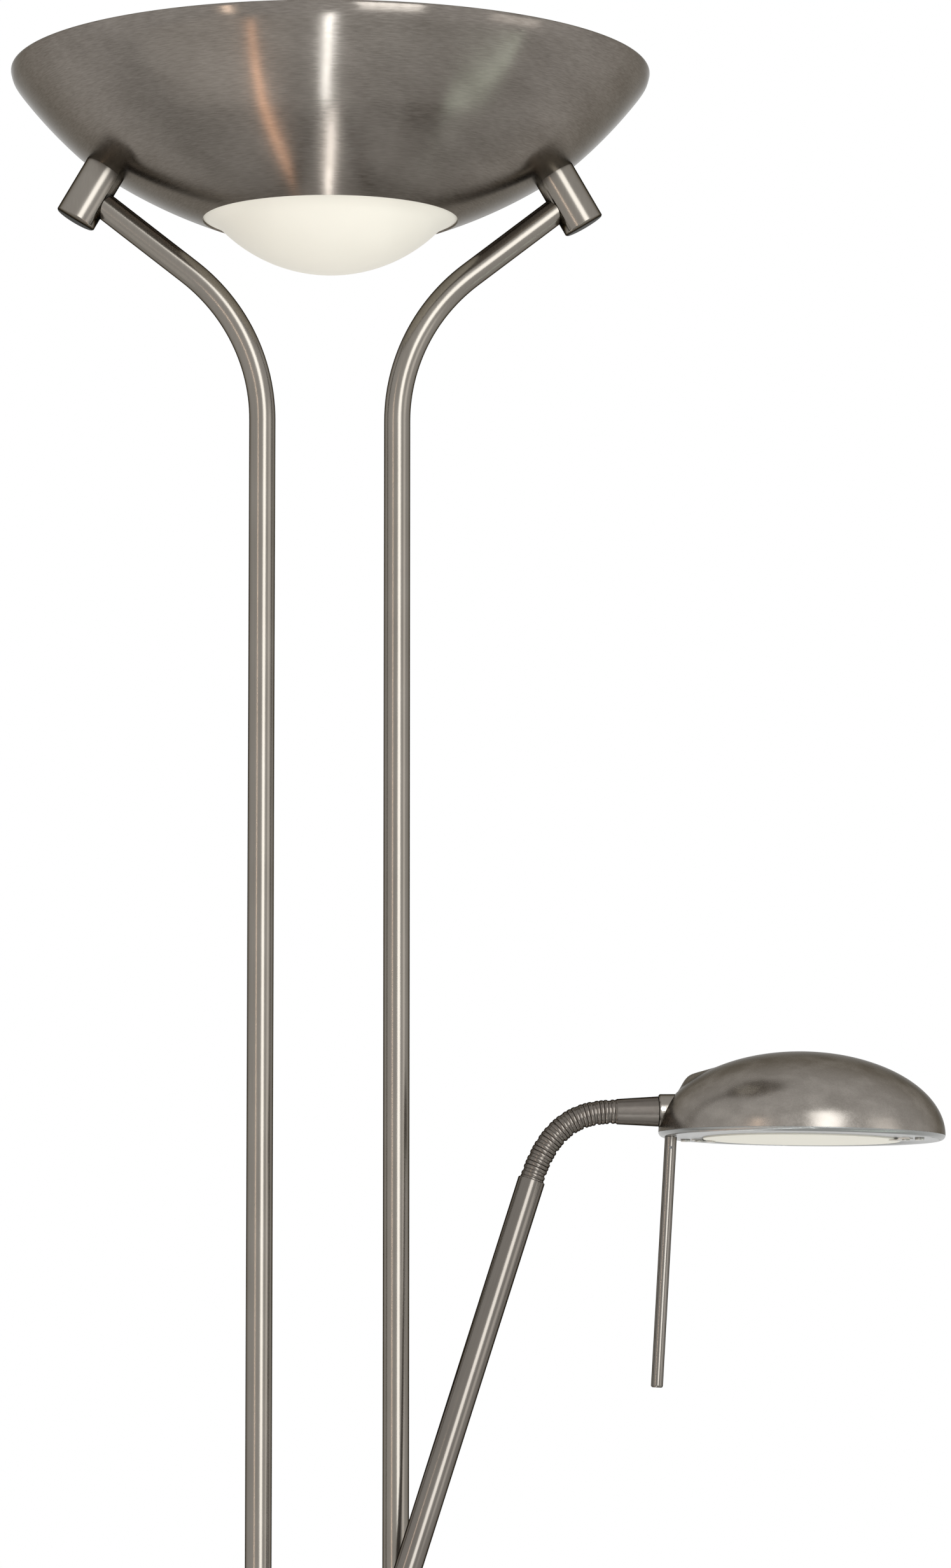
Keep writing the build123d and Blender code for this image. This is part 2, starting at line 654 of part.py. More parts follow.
def barrel(side):
    lean, length = stem_slant(side)
    with BuildPart() as body:
        with BuildSketch(barrel_plane(side, -BARREL_LENGTH)):
            Circle(BARREL_RADIUS)
        extrude(amount=BARREL_LENGTH + BARREL_RADIUS)
        chamfer(body.edges().sort_by(Axis.Z)[0], 0.6)
        with BuildSketch(Plane.XZ):
            with BuildLine():
                hole, top = bowl_outline(0)
                Polyline(hole, (0, hole_z), (0, RIM_Z), top)
            make_face()
        revolve(axis=Axis.Z, mode=Mode.SUBTRACT)
        with BuildSketch(barrel_plane(side, -BARREL_LENGTH / 2)):
            Circle(NIPPLE_RADIUS + RUNNING)
        extrude(amount=BARREL_LENGTH, mode=Mode.SUBTRACT)
        with BuildSketch(cross_plane(stem_corner(side), lean)):
            Circle(STEM_RADIUS + RUNNING)
        extrude(amount=length - STEM_SHORT, mode=Mode.SUBTRACT)
        with BuildSketch(cross_plane(stem_corner(side), lean)):
            Circle(NIPPLE_BORE)
        extrude(amount=length, mode=Mode.SUBTRACT)
    return body


for side, hand in ((-1, "left"), (1, "right")):
    save(stem_lower(side), f"stem_lower_{hand}")
    save(stem_upper(side), f"stem_upper_{hand}")
    save(barrel(side), f"barrel_{hand}")

# ---- uplighter ----

FOOT_LIFT = BOWL_WALL + 0.9
FOOT_TIP = 7.5
BOWL_WASHER = 1.5
BOWL_NUT = 3.5
nut_lift = FOOT_LIFT + BRACKET_THICKNESS + BOWL_WASHER

with BuildPart() as bowl_shell:
    with BuildSketch(Plane.XZ):
        with BuildLine():
            outer_hole, outer_top = bowl_outline(0)
            inner_hole, inner_top = bowl_outline(BOWL_WALL)
            Line(outer_hole, inner_hole)
            Line(outer_top, inner_top)
        make_face()
        with Locations((RIM_RADIUS - 0.2, RIM_Z)):
            Circle(RIM_BEAD)
    revolve(axis=Axis.Z)
    for side in (-1, 1):
        with BuildSketch(barrel_plane(side, -6)):
            Circle(NIPPLE_RADIUS + LOOSE)
        extrude(amount=12, mode=Mode.SUBTRACT)
save(bowl_shell, "bowl_shell")

with BuildPart() as bowl_nipples:
    for side in (-1, 1):
        with BuildSketch(barrel_plane(side, nut_lift + BOWL_NUT + 1 - NIPPLE_LENGTH)):
            ring(NIPPLE_RADIUS, NIPPLE_BORE)
        extrude(amount=NIPPLE_LENGTH)
save(bowl_nipples, "bowl_nipples")

with BuildPart() as bowl_nuts:
    for side in (-1, 1):
        with BuildSketch(barrel_plane(side, nut_lift - BOWL_WASHER)):
            ring(8.5, NIPPLE_RADIUS + LOOSE)
        extrude(amount=BOWL_WASHER)
        with BuildSketch(barrel_plane(side, nut_lift)):
            RegularPolygon(7, 6, major_radius=False)
            Circle(NIPPLE_RADIUS + RUNNING, mode=Mode.SUBTRACT)
        extrude(amount=BOWL_NUT)
save(bowl_nuts, "bowl_nuts")

dome_angle = degrees(asin(LENS_RADIUS / LENS_SPHERE))
flange_z = lens_rim_z + (LENS_FLANGE_RADIUS - LENS_RADIUS) * tan(radians(LENS_FLANGE_SLOPE))

with BuildPart() as glass_lens:
    with BuildSketch(Plane.XZ):
        with BuildLine():
            dome = CenterArc((0, lens_rim_z + LENS_SPHERE * cos(radians(dome_angle))), LENS_SPHERE, -90, dome_angle)
            Line(dome @ 1, (LENS_FLANGE_RADIUS, flange_z))
            offset(amount=LENS_THICKNESS, side=Side.LEFT)
        make_face()
    revolve(axis=Axis.Z)
save(glass_lens, "glass_lens")

# Three clips stand on the bowl's inner face and reach over the lens's flange.
CLIP_THICKNESS = 1.0
CLIP_ARC = 8.0
clip_inner = LENS_FLANGE_RADIUS - 4
clip_z = flange_z + LENS_THICKNESS / cos(radians(LENS_FLANGE_SLOPE)) + 0.1

with BuildPart() as lens_clips:
    for angle in (90, 210, 330):
        with BuildSketch(Plane.XZ.rotated((0, 0, angle - CLIP_ARC / 2))):
            with BuildLine():
                Polyline((clip_inner, clip_z - 1.6), (LENS_FLANGE_RADIUS, clip_z),
                         (BOWL_HOLE_RADIUS + 15, wall_height(BOWL_HOLE_RADIUS + 15, BOWL_WALL) + 0.1),
                         (BOWL_HOLE_RADIUS + 24, wall_height(BOWL_HOLE_RADIUS + 24, BOWL_WALL) + 0.1))
                offset(amount=CLIP_THICKNESS, side=Side.LEFT)
            make_face()
        revolve(axis=Axis.Z, revolution_arc=CLIP_ARC)
save(lens_clips, "lens_clips")


def bracket_point(side, outward):
    """A point on the bracket's lower face along one foot, measured outwards from the foot's hole."""
    lifted = beyond(seat(side), barrel_lean(side), FOOT_LIFT)
    x, _, z = aside(lifted, barrel_lean(side), side * outward)
    return (x, z)


strip_z = bracket_point(1, -BRACKET_REACH)[1] + BRACKET_THICKNESS
lamp_z = strip_z + LAMP_LIFT

with BuildPart() as lamp_bracket:
    with BuildSketch(Plane.XZ):
        with BuildLine():
            Polyline(bracket_point(-1, FOOT_TIP), bracket_point(-1, -BRACKET_REACH),
                     bracket_point(1, -BRACKET_REACH), bracket_point(1, FOOT_TIP))
            offset(amount=BRACKET_THICKNESS, side=Side.LEFT)
        make_face()
    extrude(amount=BRACKET_WIDTH / 2, both=True)
    for side in (-1, 1):
        with BuildSketch(barrel_plane(side, 0)):
            Circle(NIPPLE_RADIUS + LOOSE)
        extrude(amount=8, mode=Mode.SUBTRACT)
save(lamp_bracket, "lamp_bracket")

PIN_RADIUS = 2.4
PIN_LENGTH = 2.8

with BuildPart() as lamp_holders:
    with BuildSketch(Plane.XY.offset(strip_z)):
        with Locations((-HOLDER_SPREAD, 0), (HOLDER_SPREAD, 0)):
            Rectangle(HOLDER_WIDTH, HOLDER_DEPTH)
    extrude(amount=HOLDER_HEIGHT)
    with BuildSketch(Plane.YZ):
        with Locations((0, lamp_z)):
            Circle(PIN_RADIUS + LOOSE)
    extrude(amount=LAMP_LENGTH / 2 + PIN_LENGTH + 0.5, both=True, mode=Mode.SUBTRACT)
save(lamp_holders, "lamp_holders")

with BuildPart() as halogen_tube:
    with BuildSketch(Plane.YZ):
        with Locations((0, lamp_z)):
            Circle(LAMP_RADIUS)
    extrude(amount=LAMP_LENGTH / 2, both=True)
    fillet(halogen_tube.edges().filter_by(GeomType.CIRCLE), 1.5)
    with BuildSketch(Plane.YZ):
        with Locations((0, lamp_z)):
            Circle(PIN_RADIUS)
    extrude(amount=LAMP_LENGTH / 2 + PIN_LENGTH, both=True)
save(halogen_tube, "halogen_tube")

with BuildPart() as lamp_shield:
    with BuildSketch(Plane.XY.offset(strip_z + HOLDER_HEIGHT)):
        RectangleRounded(2 * HOLDER_SPREAD + HOLDER_WIDTH, SHIELD_DEPTH, 5)
    extrude(amount=SHIELD_THICKNESS)
save(lamp_shield, "lamp_shield")

# ---- arm ----

arm_y = -(HOUSING_RADIUS + PIVOT_WASHER + KNUCKLE_WIDTH / 2)
knuckle_back = HOUSING_RADIUS + PIVOT_WASHER
PIVOT = (0, arm_y, PIVOT_Z)
ARM_END = beyond(PIVOT, ARM_LEAN, ARM_LENGTH)
arm_bore = ARM_RADIUS - ARM_WALL

with BuildPart() as arm_knuckle:
    with BuildSketch(Plane.XZ.offset(knuckle_back)):
        with Locations((0, PIVOT_Z)):
            Circle(KNUCKLE_RADIUS)
    extrude(amount=KNUCKLE_WIDTH)
    chamfer(arm_knuckle.edges().filter_by(GeomType.CIRCLE), 1)
    with BuildSketch(cross_plane(PIVOT, ARM_LEAN)):
        Circle(ARM_RADIUS + 1)
    extrude(amount=ARM_SHOULDER)
    with BuildSketch(cross_plane(PIVOT, ARM_LEAN)):
        Circle(arm_bore - RUNNING)
    extrude(amount=ARM_SHOULDER + SPIGOT_LENGTH)
    with BuildSketch(cross_plane(PIVOT, ARM_LEAN)):
        Circle(2.5)
    extrude(amount=ARM_SHOULDER + SPIGOT_LENGTH, mode=Mode.SUBTRACT)
    with BuildSketch(Plane.XZ.offset(knuckle_back)):
        with Locations((0, PIVOT_Z)):
            Circle(PIVOT_RADIUS + RUNNING)
    extrude(amount=KNUCKLE_WIDTH, mode=Mode.SUBTRACT)
    with BuildSketch(Plane.XZ.offset(knuckle_back + KNUCKLE_WIDTH)):
        with Locations((0, PIVOT_Z)):
            Circle(7 + LOOSE)
    extrude(amount=-8, mode=Mode.SUBTRACT)
save(arm_knuckle, "arm_knuckle")

with BuildPart() as knuckle_cap:
    with BuildSketch(Plane.XZ.offset(knuckle_back + KNUCKLE_WIDTH)):
        with Locations((0, PIVOT_Z)):
            Circle(KNUCKLE_RADIUS - 2)
    extrude(amount=1.5)
    fillet(knuckle_cap.edges().sort_by(Axis.Y)[0], 1)
    with BuildSketch(Plane.XZ.offset(knuckle_back + KNUCKLE_WIDTH)):
        with Locations((0, PIVOT_Z)):
            Circle(7 + LOOSE - RUNNING)
    extrude(amount=-4.5)
save(knuckle_cap, "knuckle_cap")

with BuildPart() as arm_tube:
    with BuildSketch(cross_plane(beyond(PIVOT, ARM_LEAN, ARM_SHOULDER), ARM_LEAN)):
        Circle(ARM_RADIUS)
    extrude(amount=ARM_LENGTH - ARM_SHOULDER)
    chamfer(arm_tube.edges().sort_by(Axis.Z)[-1], 0.7)
    with BuildSketch(cross_plane(beyond(PIVOT, ARM_LEAN, ARM_SHOULDER), ARM_LEAN)):
        Circle(arm_bore)
    extrude(amount=ARM_LENGTH - ARM_SHOULDER, mode=Mode.SUBTRACT)
save(arm_tube, "arm_tube")

# ---- gooseneck ----
# Short ribbed links, each with a ball on its upper end that sits in a socket in the next piece's lower end.

neck_leans = [ARM_LEAN + sum(NECK_BENDS[:index]) for index in range(len(NECK_BENDS) + 1)]
hinges = [beyond(ARM_END, ARM_LEAN, NECK_PITCH / 2)]
for lean in neck_leans[1:-1]:
    hinges.append(beyond(hinges[-1], lean, NECK_PITCH))
rib_pitch = (NECK_PITCH - NECK_GAP) / NECK_RIBS


rib_valley = NECK_RADIUS - RIB_DEPTH
socket_radius = BALL_RADIUS + 0.1
socket_top = sqrt(socket_radius ** 2 - NECK_BORE ** 2)


def socket_edge():
    """Outline of the hollow for a ball, from the bore out to the lower face."""
    steep = degrees(acos(NECK_BORE / socket_radius))
    flat = degrees(asin(NECK_GAP / 2 / socket_radius))
    hollow = CenterArc((0, 0), socket_radius, steep, flat - steep)
    Line(hollow @ 1, (rib_valley, NECK_GAP / 2))


def rib_edge(start, ribs):
    for rib in range(ribs):
        low = start + rib * rib_pitch
        ThreePointArc((rib_valley, low), (NECK_RADIUS, low + rib_pitch / 2), (rib_valley, low + rib_pitch))


def ball_edge(base, centre):
    """Outline of a ball, from the upper face it stands on in to the bore."""
    low = degrees(asin((base - centre) / BALL_RADIUS))
    high = degrees(acos(NECK_BORE / BALL_RADIUS))
    sphere = CenterArc((0, centre), BALL_RADIUS, low, high - low)
    Line((rib_valley, base), sphere @ 0)


with BuildPart() as neck_base:
    base_end = NECK_PITCH / 2 - NECK_GAP / 2
    with BuildSketch(profile_plane(ARM_END, ARM_LEAN)):
        with BuildLine():
            Polyline((NECK_BORE, NECK_PITCH / 2 + sqrt(BALL_RADIUS ** 2 - NECK_BORE ** 2)),
                     (NECK_BORE, -SPIGOT_LENGTH), (arm_bore - RUNNING, -SPIGOT_LENGTH), (arm_bore - RUNNING, 0),
                     (NECK_RADIUS, 0), (NECK_RADIUS, base_end - rib_pitch), (rib_valley, base_end - rib_pitch))
            rib_edge(base_end - rib_pitch, 1)
            ball_edge(base_end, NECK_PITCH / 2)
        make_face()
    revolve(axis=turn_axis(ARM_END, ARM_LEAN))
save(neck_base, "neck_base")

for number, (hinge, lean) in enumerate(zip(hinges[:-1], neck_leans[1:-1]), start=1):
    with BuildPart() as neck_link:
        with BuildSketch(profile_plane(hinge, lean)):
            with BuildLine():
                Line((NECK_BORE, NECK_PITCH + sqrt(BALL_RADIUS ** 2 - NECK_BORE ** 2)), (NECK_BORE, socket_top))
                socket_edge()
                rib_edge(NECK_GAP / 2, NECK_RIBS)
                ball_edge(NECK_PITCH - NECK_GAP / 2, NECK_PITCH)
            make_face()
        revolve(axis=turn_axis(hinge, lean))
    save(neck_link, f"neck_link_{number}")

tail_lean = neck_leans[-1]
TAIL = hinges[-1]
cone_start = NECK_GAP / 2 + rib_pitch
spigot_end = END_TUBE_LENGTH + END_SPIGOT_LENGTH

with BuildPart() as neck_end_tube:
    with BuildSketch(profile_plane(TAIL, tail_lean)):
        with BuildLine():
            socket_edge()
            rib_edge(NECK_GAP / 2, 1)
            Polyline((rib_valley, cone_start), (NECK_RADIUS, cone_start), (NECK_RADIUS + 0.3, cone_start + 0.6),
                     (END_TUBE_RADIUS, END_TUBE_LENGTH), (END_SPIGOT_RADIUS, END_TUBE_LENGTH),
                     (END_SPIGOT_RADIUS, spigot_end), (END_BORE, spigot_end), (END_BORE, 2 * BALL_RADIUS),
                     (NECK_BORE, 2 * BALL_RADIUS), (NECK_BORE, socket_top))
        make_face()
    revolve(axis=turn_axis(TAIL, tail_lean))
save(neck_end_tube, "neck_end_tube")


def bar_along(origin, lean, start, length, radius):
    """A plain round bar along the leaning line, to be cut out of another piece."""
    with BuildPart() as bar:
        with BuildSketch(cross_plane(beyond(origin, lean, start), lean)):
            Circle(radius)
        extrude(amount=length)
    return bar.part


# ---- reading head ----

COLLAR_START = beyond(TAIL, tail_lean, END_TUBE_LENGTH + 0.2)
HEAD = aside(beyond(TAIL, tail_lean, END_TUBE_LENGTH + HEAD_REACH), tail_lean, HEAD_DROP)
HEAD_AXIS = turn_axis(HEAD, HEAD_TILT)
inner_radius = HEAD_RADIUS - HEAD_WALL
plate_top = PLATE_WALL - PLATE_DEPTH
rod_spot = (-ROD_BACK, 0)


def head_plane(height):
    """A plane square to the head's axis: X points away from the neck and Y to the back."""
    return cross_plane(beyond(HEAD, HEAD_TILT, height), HEAD_TILT)


def around(radius):
    """The two opposite spots on a circle that lie on the clips' line."""
    return [(radius * cos(radians(angle)), radius * sin(radians(angle))) for angle in (CLIP_ANGLE, CLIP_ANGLE + 180)]


def oval_quarter(radius, height):
    """Closed outline of a quarter of an oval, with its flat sides on the plane's axes."""
    steps = [radians(15 * step) for step in range(7)]
    Spline([(radius * cos(step), height * sin(step)) for step in steps], tangents=((0, 1), (-1, 0)))
    Polyline((0, height), (0, 0), (radius, 0))


def dome_form(inset):
    """The head's domed form with the hump at its back, made smaller by the inset."""
    with BuildPart() as form:
        with BuildSketch(head_plane(0)):
            with Locations((-HUMP_BACK, HUMP_ASIDE)):
                Circle(HUMP_RADIUS - inset)
        extrude(amount=HUMP_HEIGHT - inset)
        fillet(form.edges().sort_by(HEAD_AXIS)[-1], HUMP_ROUND - inset)
        with BuildSketch(profile_plane(HEAD, HEAD_TILT)):
            with BuildLine():
                oval_quarter(HEAD_RADIUS - inset, HEAD_HEIGHT - inset)
            make_face()
        revolve(axis=HEAD_AXIS)
    return form


with BuildPart() as head_collar:
    with BuildSketch(cross_plane(COLLAR_START, tail_lean)):
        Circle(HEAD_COLLAR_RADIUS)
    extrude(amount=HEAD_COLLAR_LENGTH)
    chamfer(head_collar.edges().sort_by(Axis.X)[0], 0.8)
    with BuildSketch(cross_plane(COLLAR_START, tail_lean)):
        Circle(END_SPIGOT_RADIUS + RUNNING)
    extrude(amount=HEAD_COLLAR_LENGTH, mode=Mode.SUBTRACT)
    set_screw_spot = aside(beyond(COLLAR_START, tail_lean, 2.1), tail_lean, -1)
    with BuildSketch(Plane.XZ.offset(HEAD_COLLAR_RADIUS - arm_y)):
        with Locations((set_screw_spot[0], set_screw_spot[2])):
            Circle(1.65)
    extrude(amount=-HEAD_COLLAR_RADIUS, mode=Mode.SUBTRACT)
save(head_collar, "head_collar")

with BuildPart() as head_shell:
    add(dome_form(0).part)
    add(dome_form(HEAD_WALL).part, mode=Mode.SUBTRACT)
    with BuildSketch(head_plane(plate_top)):
        with Locations(*around(SCREW_CIRCLE)):
            Circle(3)
    extrude(amount=POST_HEIGHT)
    with BuildSketch(head_plane(plate_top)):
        with Locations(*around(SCREW_CIRCLE)):
            Circle(1.3)
    extrude(amount=12, mode=Mode.SUBTRACT)
    add(bar_along(TAIL, tail_lean, END_TUBE_LENGTH - 4, HEAD_COLLAR_LENGTH, HEAD_COLLAR_RADIUS + RUNNING),
        mode=Mode.SUBTRACT)
save(head_shell, "head_shell")

with BuildPart() as head_plate:
    with BuildSketch(profile_plane(HEAD, HEAD_TILT)):
        with BuildLine():
            Polyline((inner_radius - 1.6, 0), (inner_radius - 1.6, PLATE_LIP), (inner_radius - 0.6, PLATE_LIP),
                     (inner_radius - 0.6, 0), (HEAD_RADIUS, 0))
            ThreePointArc((HEAD_RADIUS, 0), (HEAD_RADIUS - 1.2, -2), (HEAD_RADIUS - 3.8, -PLATE_DEPTH))
            Polyline((HEAD_RADIUS - 3.8, -PLATE_DEPTH), (HEAD_GLASS_RADIUS + 0.6, -PLATE_DEPTH),
                     (HEAD_GLASS_RADIUS + 0.6, -0.4), (LEDGE_RADIUS, -0.4), (LEDGE_RADIUS, 0.6),
                     (HEAD_GLASS_RADIUS + 1.6, 0.6), (HEAD_GLASS_RADIUS + 1.6, plate_top),
                     (HEAD_RADIUS - 3.8, plate_top))
            ThreePointArc((HEAD_RADIUS - 3.8, plate_top), (inner_radius - 1.9, -1.1), (inner_radius - 1.6, 0))
        make_face()
    revolve(axis=HEAD_AXIS)
    with BuildSketch(head_plane(-2 * PLATE_DEPTH)):
        with Locations(*around(RIVET_CIRCLE), *around(SCREW_CIRCLE)):
            Circle(1.5 + RUNNING)
        with Locations(rod_spot):
            Circle(2 + LOOSE)
    extrude(amount=2 * PLATE_DEPTH, mode=Mode.SUBTRACT)
save(head_plate, "head_plate")

with BuildPart() as head_glass:
    with BuildSketch(profile_plane(HEAD, HEAD_TILT)):
        with BuildLine():
            under = -0.4 - HEAD_GLASS_THICKNESS
            Polyline((0, under - HEAD_GLASS_CROWN), (0, -0.45), (HEAD_GLASS_RADIUS, -0.45),
                     (HEAD_GLASS_RADIUS, under))
            TangentArc((0, under - HEAD_GLASS_CROWN), (HEAD_GLASS_RADIUS, under), tangent=(1, 0))
        make_face()
    revolve(axis=HEAD_AXIS)
save(head_glass, "head_glass")

with BuildPart() as glass_clips:
    for angle in (CLIP_ANGLE, CLIP_ANGLE + 180):
        x_dir = head_plane(0).x_dir.rotate(HEAD_AXIS, angle)
        z_dir = x_dir.cross(head_plane(0).z_dir)
        with BuildSketch(Plane(origin=HEAD, x_dir=x_dir, z_dir=z_dir)):
            with BuildLine():
                Polyline((LEDGE_RADIUS + 0.5, -3.6), (HEAD_GLASS_RADIUS + 2, -3.6),
                         (HEAD_GLASS_RADIUS + 3, -PLATE_DEPTH), (RIVET_CIRCLE + 3.3, -PLATE_DEPTH))
                offset(amount=0.7, side=Side.RIGHT)
            make_face()
        extrude(amount=CLIP_WIDTH / 2, both=True)
    with BuildSketch(head_plane(-2 * PLATE_DEPTH)):
        with Locations(*around(RIVET_CIRCLE)):
            Circle(1.5 + RUNNING)
    extrude(amount=2 * PLATE_DEPTH, mode=Mode.SUBTRACT)
save(glass_clips, "glass_clips")

rod_top = aside(beyond(HEAD, HEAD_TILT, -PLATE_DEPTH), HEAD_TILT, -ROD_BACK)

with BuildPart() as handle_rod:
    with BuildSketch(cross_plane(beyond(rod_top, ROD_LEAN, -ROD_LENGTH), ROD_LEAN)):
        Circle(ROD_RADIUS)
    extrude(amount=ROD_LENGTH + 2)
    fillet(handle_rod.edges().sort_by(Axis.Z)[0], 1.2)
    with BuildSketch(head_plane(-PLATE_DEPTH)):
        with Locations(rod_spot):
            Circle(2 * ROD_RADIUS)
    extrude(amount=4, mode=Mode.SUBTRACT)
    with BuildSketch(head_plane(-PLATE_DEPTH - 1)):
        with Locations(rod_spot):
            Circle(2)
    extrude(amount=PLATE_DEPTH + 2.4)
    with BuildSketch(Plane.XZ.offset(ROD_RADIUS + 1 - arm_y)):
        with Locations((rod_top[0] - 0.4, rod_top[2] - 6.5)):
            Circle(0.9)
    extrude(amount=-4, mode=Mode.SUBTRACT)
save(handle_rod, "handle_rod")

bracket_x = HEAD_COLLAR_LENGTH + 0.2 - HEAD_REACH
holder_z = 18.0

with BuildPart() as head_bracket:
    with BuildSketch(Plane(origin=HEAD, x_dir=head_plane(0).x_dir, z_dir=(0, -1, 0))):
        with Locations((bracket_x, plate_top)):
            Rectangle(2, 28 - plate_top, align=(Align.MIN, Align.MIN))
        with Locations((bracket_x - 6, plate_top)):
            Rectangle(8, 1.2, align=(Align.MIN, Align.MIN))
    extrude(amount=12, both=True)
    add(bar_along(TAIL, tail_lean, END_TUBE_LENGTH, HEAD_COLLAR_LENGTH + 5, END_BORE), mode=Mode.SUBTRACT)
save(head_bracket, "head_bracket")


def lamp_line(start):
    """A plane square to the reading lamp's axis, at a distance along the head's own X."""
    origin = aside(beyond(HEAD, HEAD_TILT, holder_z), HEAD_TILT, start)
    return cross_plane(origin, HEAD_TILT + 90)


holder_start = bracket_x + 2
holder_end = -39.0
BULB_RADIUS = 7.0
BULB_LENGTH = 46.0

with BuildPart() as head_lamp_holder:
    with BuildSketch(lamp_line(holder_start)):
        Circle(9.5)
    extrude(amount=holder_end - holder_start)
    chamfer(head_lamp_holder.edges().sort_by(Axis.X)[-1], 1)
    with BuildSketch(lamp_line(holder_end)):
        Circle(4 + LOOSE)
    extrude(amount=-8, mode=Mode.SUBTRACT)
save(head_lamp_holder, "head_lamp_holder")

with BuildPart() as reading_lamp:
    with BuildSketch(lamp_line(holder_end)):
        Circle(BULB_RADIUS)
    extrude(amount=BULB_LENGTH)
    fillet(reading_lamp.edges().sort_by(Axis.X)[-1], BULB_RADIUS - 0.5)
    with BuildSketch(lamp_line(holder_end)):
        Circle(4)
    extrude(amount=-7)
save(reading_lamp, "reading_lamp")

REFLECTOR_RADIUS = 61.0
REFLECTOR_HEIGHT = 36.0
REFLECTOR_WALL = 0.8
REFLECTOR_SLOT = 32.0

with BuildPart() as head_reflector:
    for mode, inset in ((Mode.ADD, 0), (Mode.SUBTRACT, REFLECTOR_WALL)):
        with BuildSketch(profile_plane(beyond(HEAD, HEAD_TILT, plate_top), HEAD_TILT)):
            with BuildLine():
                oval_quarter(REFLECTOR_RADIUS - inset, REFLECTOR_HEIGHT - inset)
            make_face()
        revolve(axis=HEAD_AXIS, mode=mode)
    with BuildSketch(head_plane(plate_top)):
        with Locations((holder_end + 1, 0)):
            Rectangle(REFLECTOR_RADIUS, REFLECTOR_SLOT, align=(Align.MAX, Align.CENTER))
    extrude(amount=REFLECTOR_HEIGHT, mode=Mode.SUBTRACT)
save(head_reflector, "head_reflector")

# Two plate screws, two clip rivets, the rod's nut and the collar's set screw.
with BuildPart() as head_fasteners:
    with BuildSketch(head_plane(-PLATE_DEPTH)):
        with Locations(*around(SCREW_CIRCLE)):
            Circle(2.8)
    extrude(amount=-1.3)
    with BuildSketch(head_plane(-PLATE_DEPTH)):
        with Locations(*around(SCREW_CIRCLE)):
            Circle(1.25)
    extrude(amount=12)
    with BuildSketch(head_plane(-PLATE_DEPTH - 0.7)):
        with Locations(*around(RIVET_CIRCLE)):
            Circle(2.4)
    extrude(amount=-0.8)
    with BuildSketch(head_plane(-PLATE_DEPTH - 0.7)):
        with Locations(*around(RIVET_CIRCLE)):
            Circle(1.5)
    extrude(amount=0.7 + PLATE_WALL)
    with BuildSketch(head_plane(plate_top)):
        with Locations(*around(RIVET_CIRCLE)):
            Circle(2.2)
    extrude(amount=0.8)
    with BuildSketch(head_plane(plate_top)):
        with Locations(rod_spot):
            RegularPolygon(3, 6, major_radius=False)
            Circle(2 + RUNNING, mode=Mode.SUBTRACT)
    extrude(amount=2.2)
    with BuildSketch(Plane.XZ.offset(HEAD_COLLAR_RADIUS + 0.3 - arm_y)):
        with Locations((set_screw_spot[0], set_screw_spot[2])):
            Circle(1.6)
    extrude(amount=-3.2)
save(head_fasteners, "head_fasteners")
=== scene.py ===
import json
from math import asin, atan2, cos, degrees, hypot, pi, radians, sin, sqrt, tan

import bmesh
import bpy
from mathutils import Matrix, Vector


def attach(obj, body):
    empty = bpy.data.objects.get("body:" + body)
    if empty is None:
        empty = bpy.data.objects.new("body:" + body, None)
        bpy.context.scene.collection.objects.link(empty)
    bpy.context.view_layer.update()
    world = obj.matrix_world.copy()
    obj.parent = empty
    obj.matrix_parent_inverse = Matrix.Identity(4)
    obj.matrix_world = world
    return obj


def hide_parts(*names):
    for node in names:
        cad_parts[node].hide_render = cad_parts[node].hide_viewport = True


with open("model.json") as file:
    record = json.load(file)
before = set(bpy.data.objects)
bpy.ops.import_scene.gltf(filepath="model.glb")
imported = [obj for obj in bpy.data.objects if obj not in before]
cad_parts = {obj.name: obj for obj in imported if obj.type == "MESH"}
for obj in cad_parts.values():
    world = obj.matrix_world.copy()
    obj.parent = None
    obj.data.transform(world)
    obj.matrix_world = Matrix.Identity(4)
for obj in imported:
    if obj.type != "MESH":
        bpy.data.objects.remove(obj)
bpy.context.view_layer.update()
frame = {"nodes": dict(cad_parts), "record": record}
mm = 0.001
print("frame loaded, solids:", len(frame["nodes"]))


# node trees written as sums

class Wire:
    # one socket; sums on it add their Math nodes to the sheet
    def __init__(self, sheet, socket):
        self.sheet = sheet
        self.socket = socket

    def also(self, outlet):  # another outlet of the same node
        return Wire(self.sheet, self.socket.node.outputs[outlet])

    def math(self, operation, first, second=0.0):
        return self.sheet.node("ShaderNodeMath", {"operation": operation}, {0: first, 1: second})

    def __add__(self, other):
        return self.math("ADD", self, other)

    def __radd__(self, other):
        return self.math("ADD", other, self)

    def __sub__(self, other):
        return self.math("SUBTRACT", self, other)

    def __rsub__(self, other):
        return self.math("SUBTRACT", other, self)

    def __mul__(self, other):
        return self.math("MULTIPLY", self, other)

    def __rmul__(self, other):
        return self.math("MULTIPLY", other, self)

    def __truediv__(self, other):
        return self.math("DIVIDE", self, other)

    def __rtruediv__(self, other):
        return self.math("DIVIDE", other, self)

    def __pow__(self, other):
        return self.math("POWER", self, other)

    def __floor__(self):
        return self.math("FLOOR", self)

    def __mod__(self, other):
        return self.math("FLOORED_MODULO", self, other)


# the shader's sockets that a finish sets to one number or colour
socketOf = {"metallic": "Metallic", "rotation": "Anisotropic Rotation", "brushed": "Anisotropic",
            "edge": "Specular Tint", "shine": "Specular IOR Level", "transmission": "Transmission Weight",
            "ior": "IOR", "alpha": "Alpha", "glow": "Emission Color", "glowStrength": "Emission Strength"}


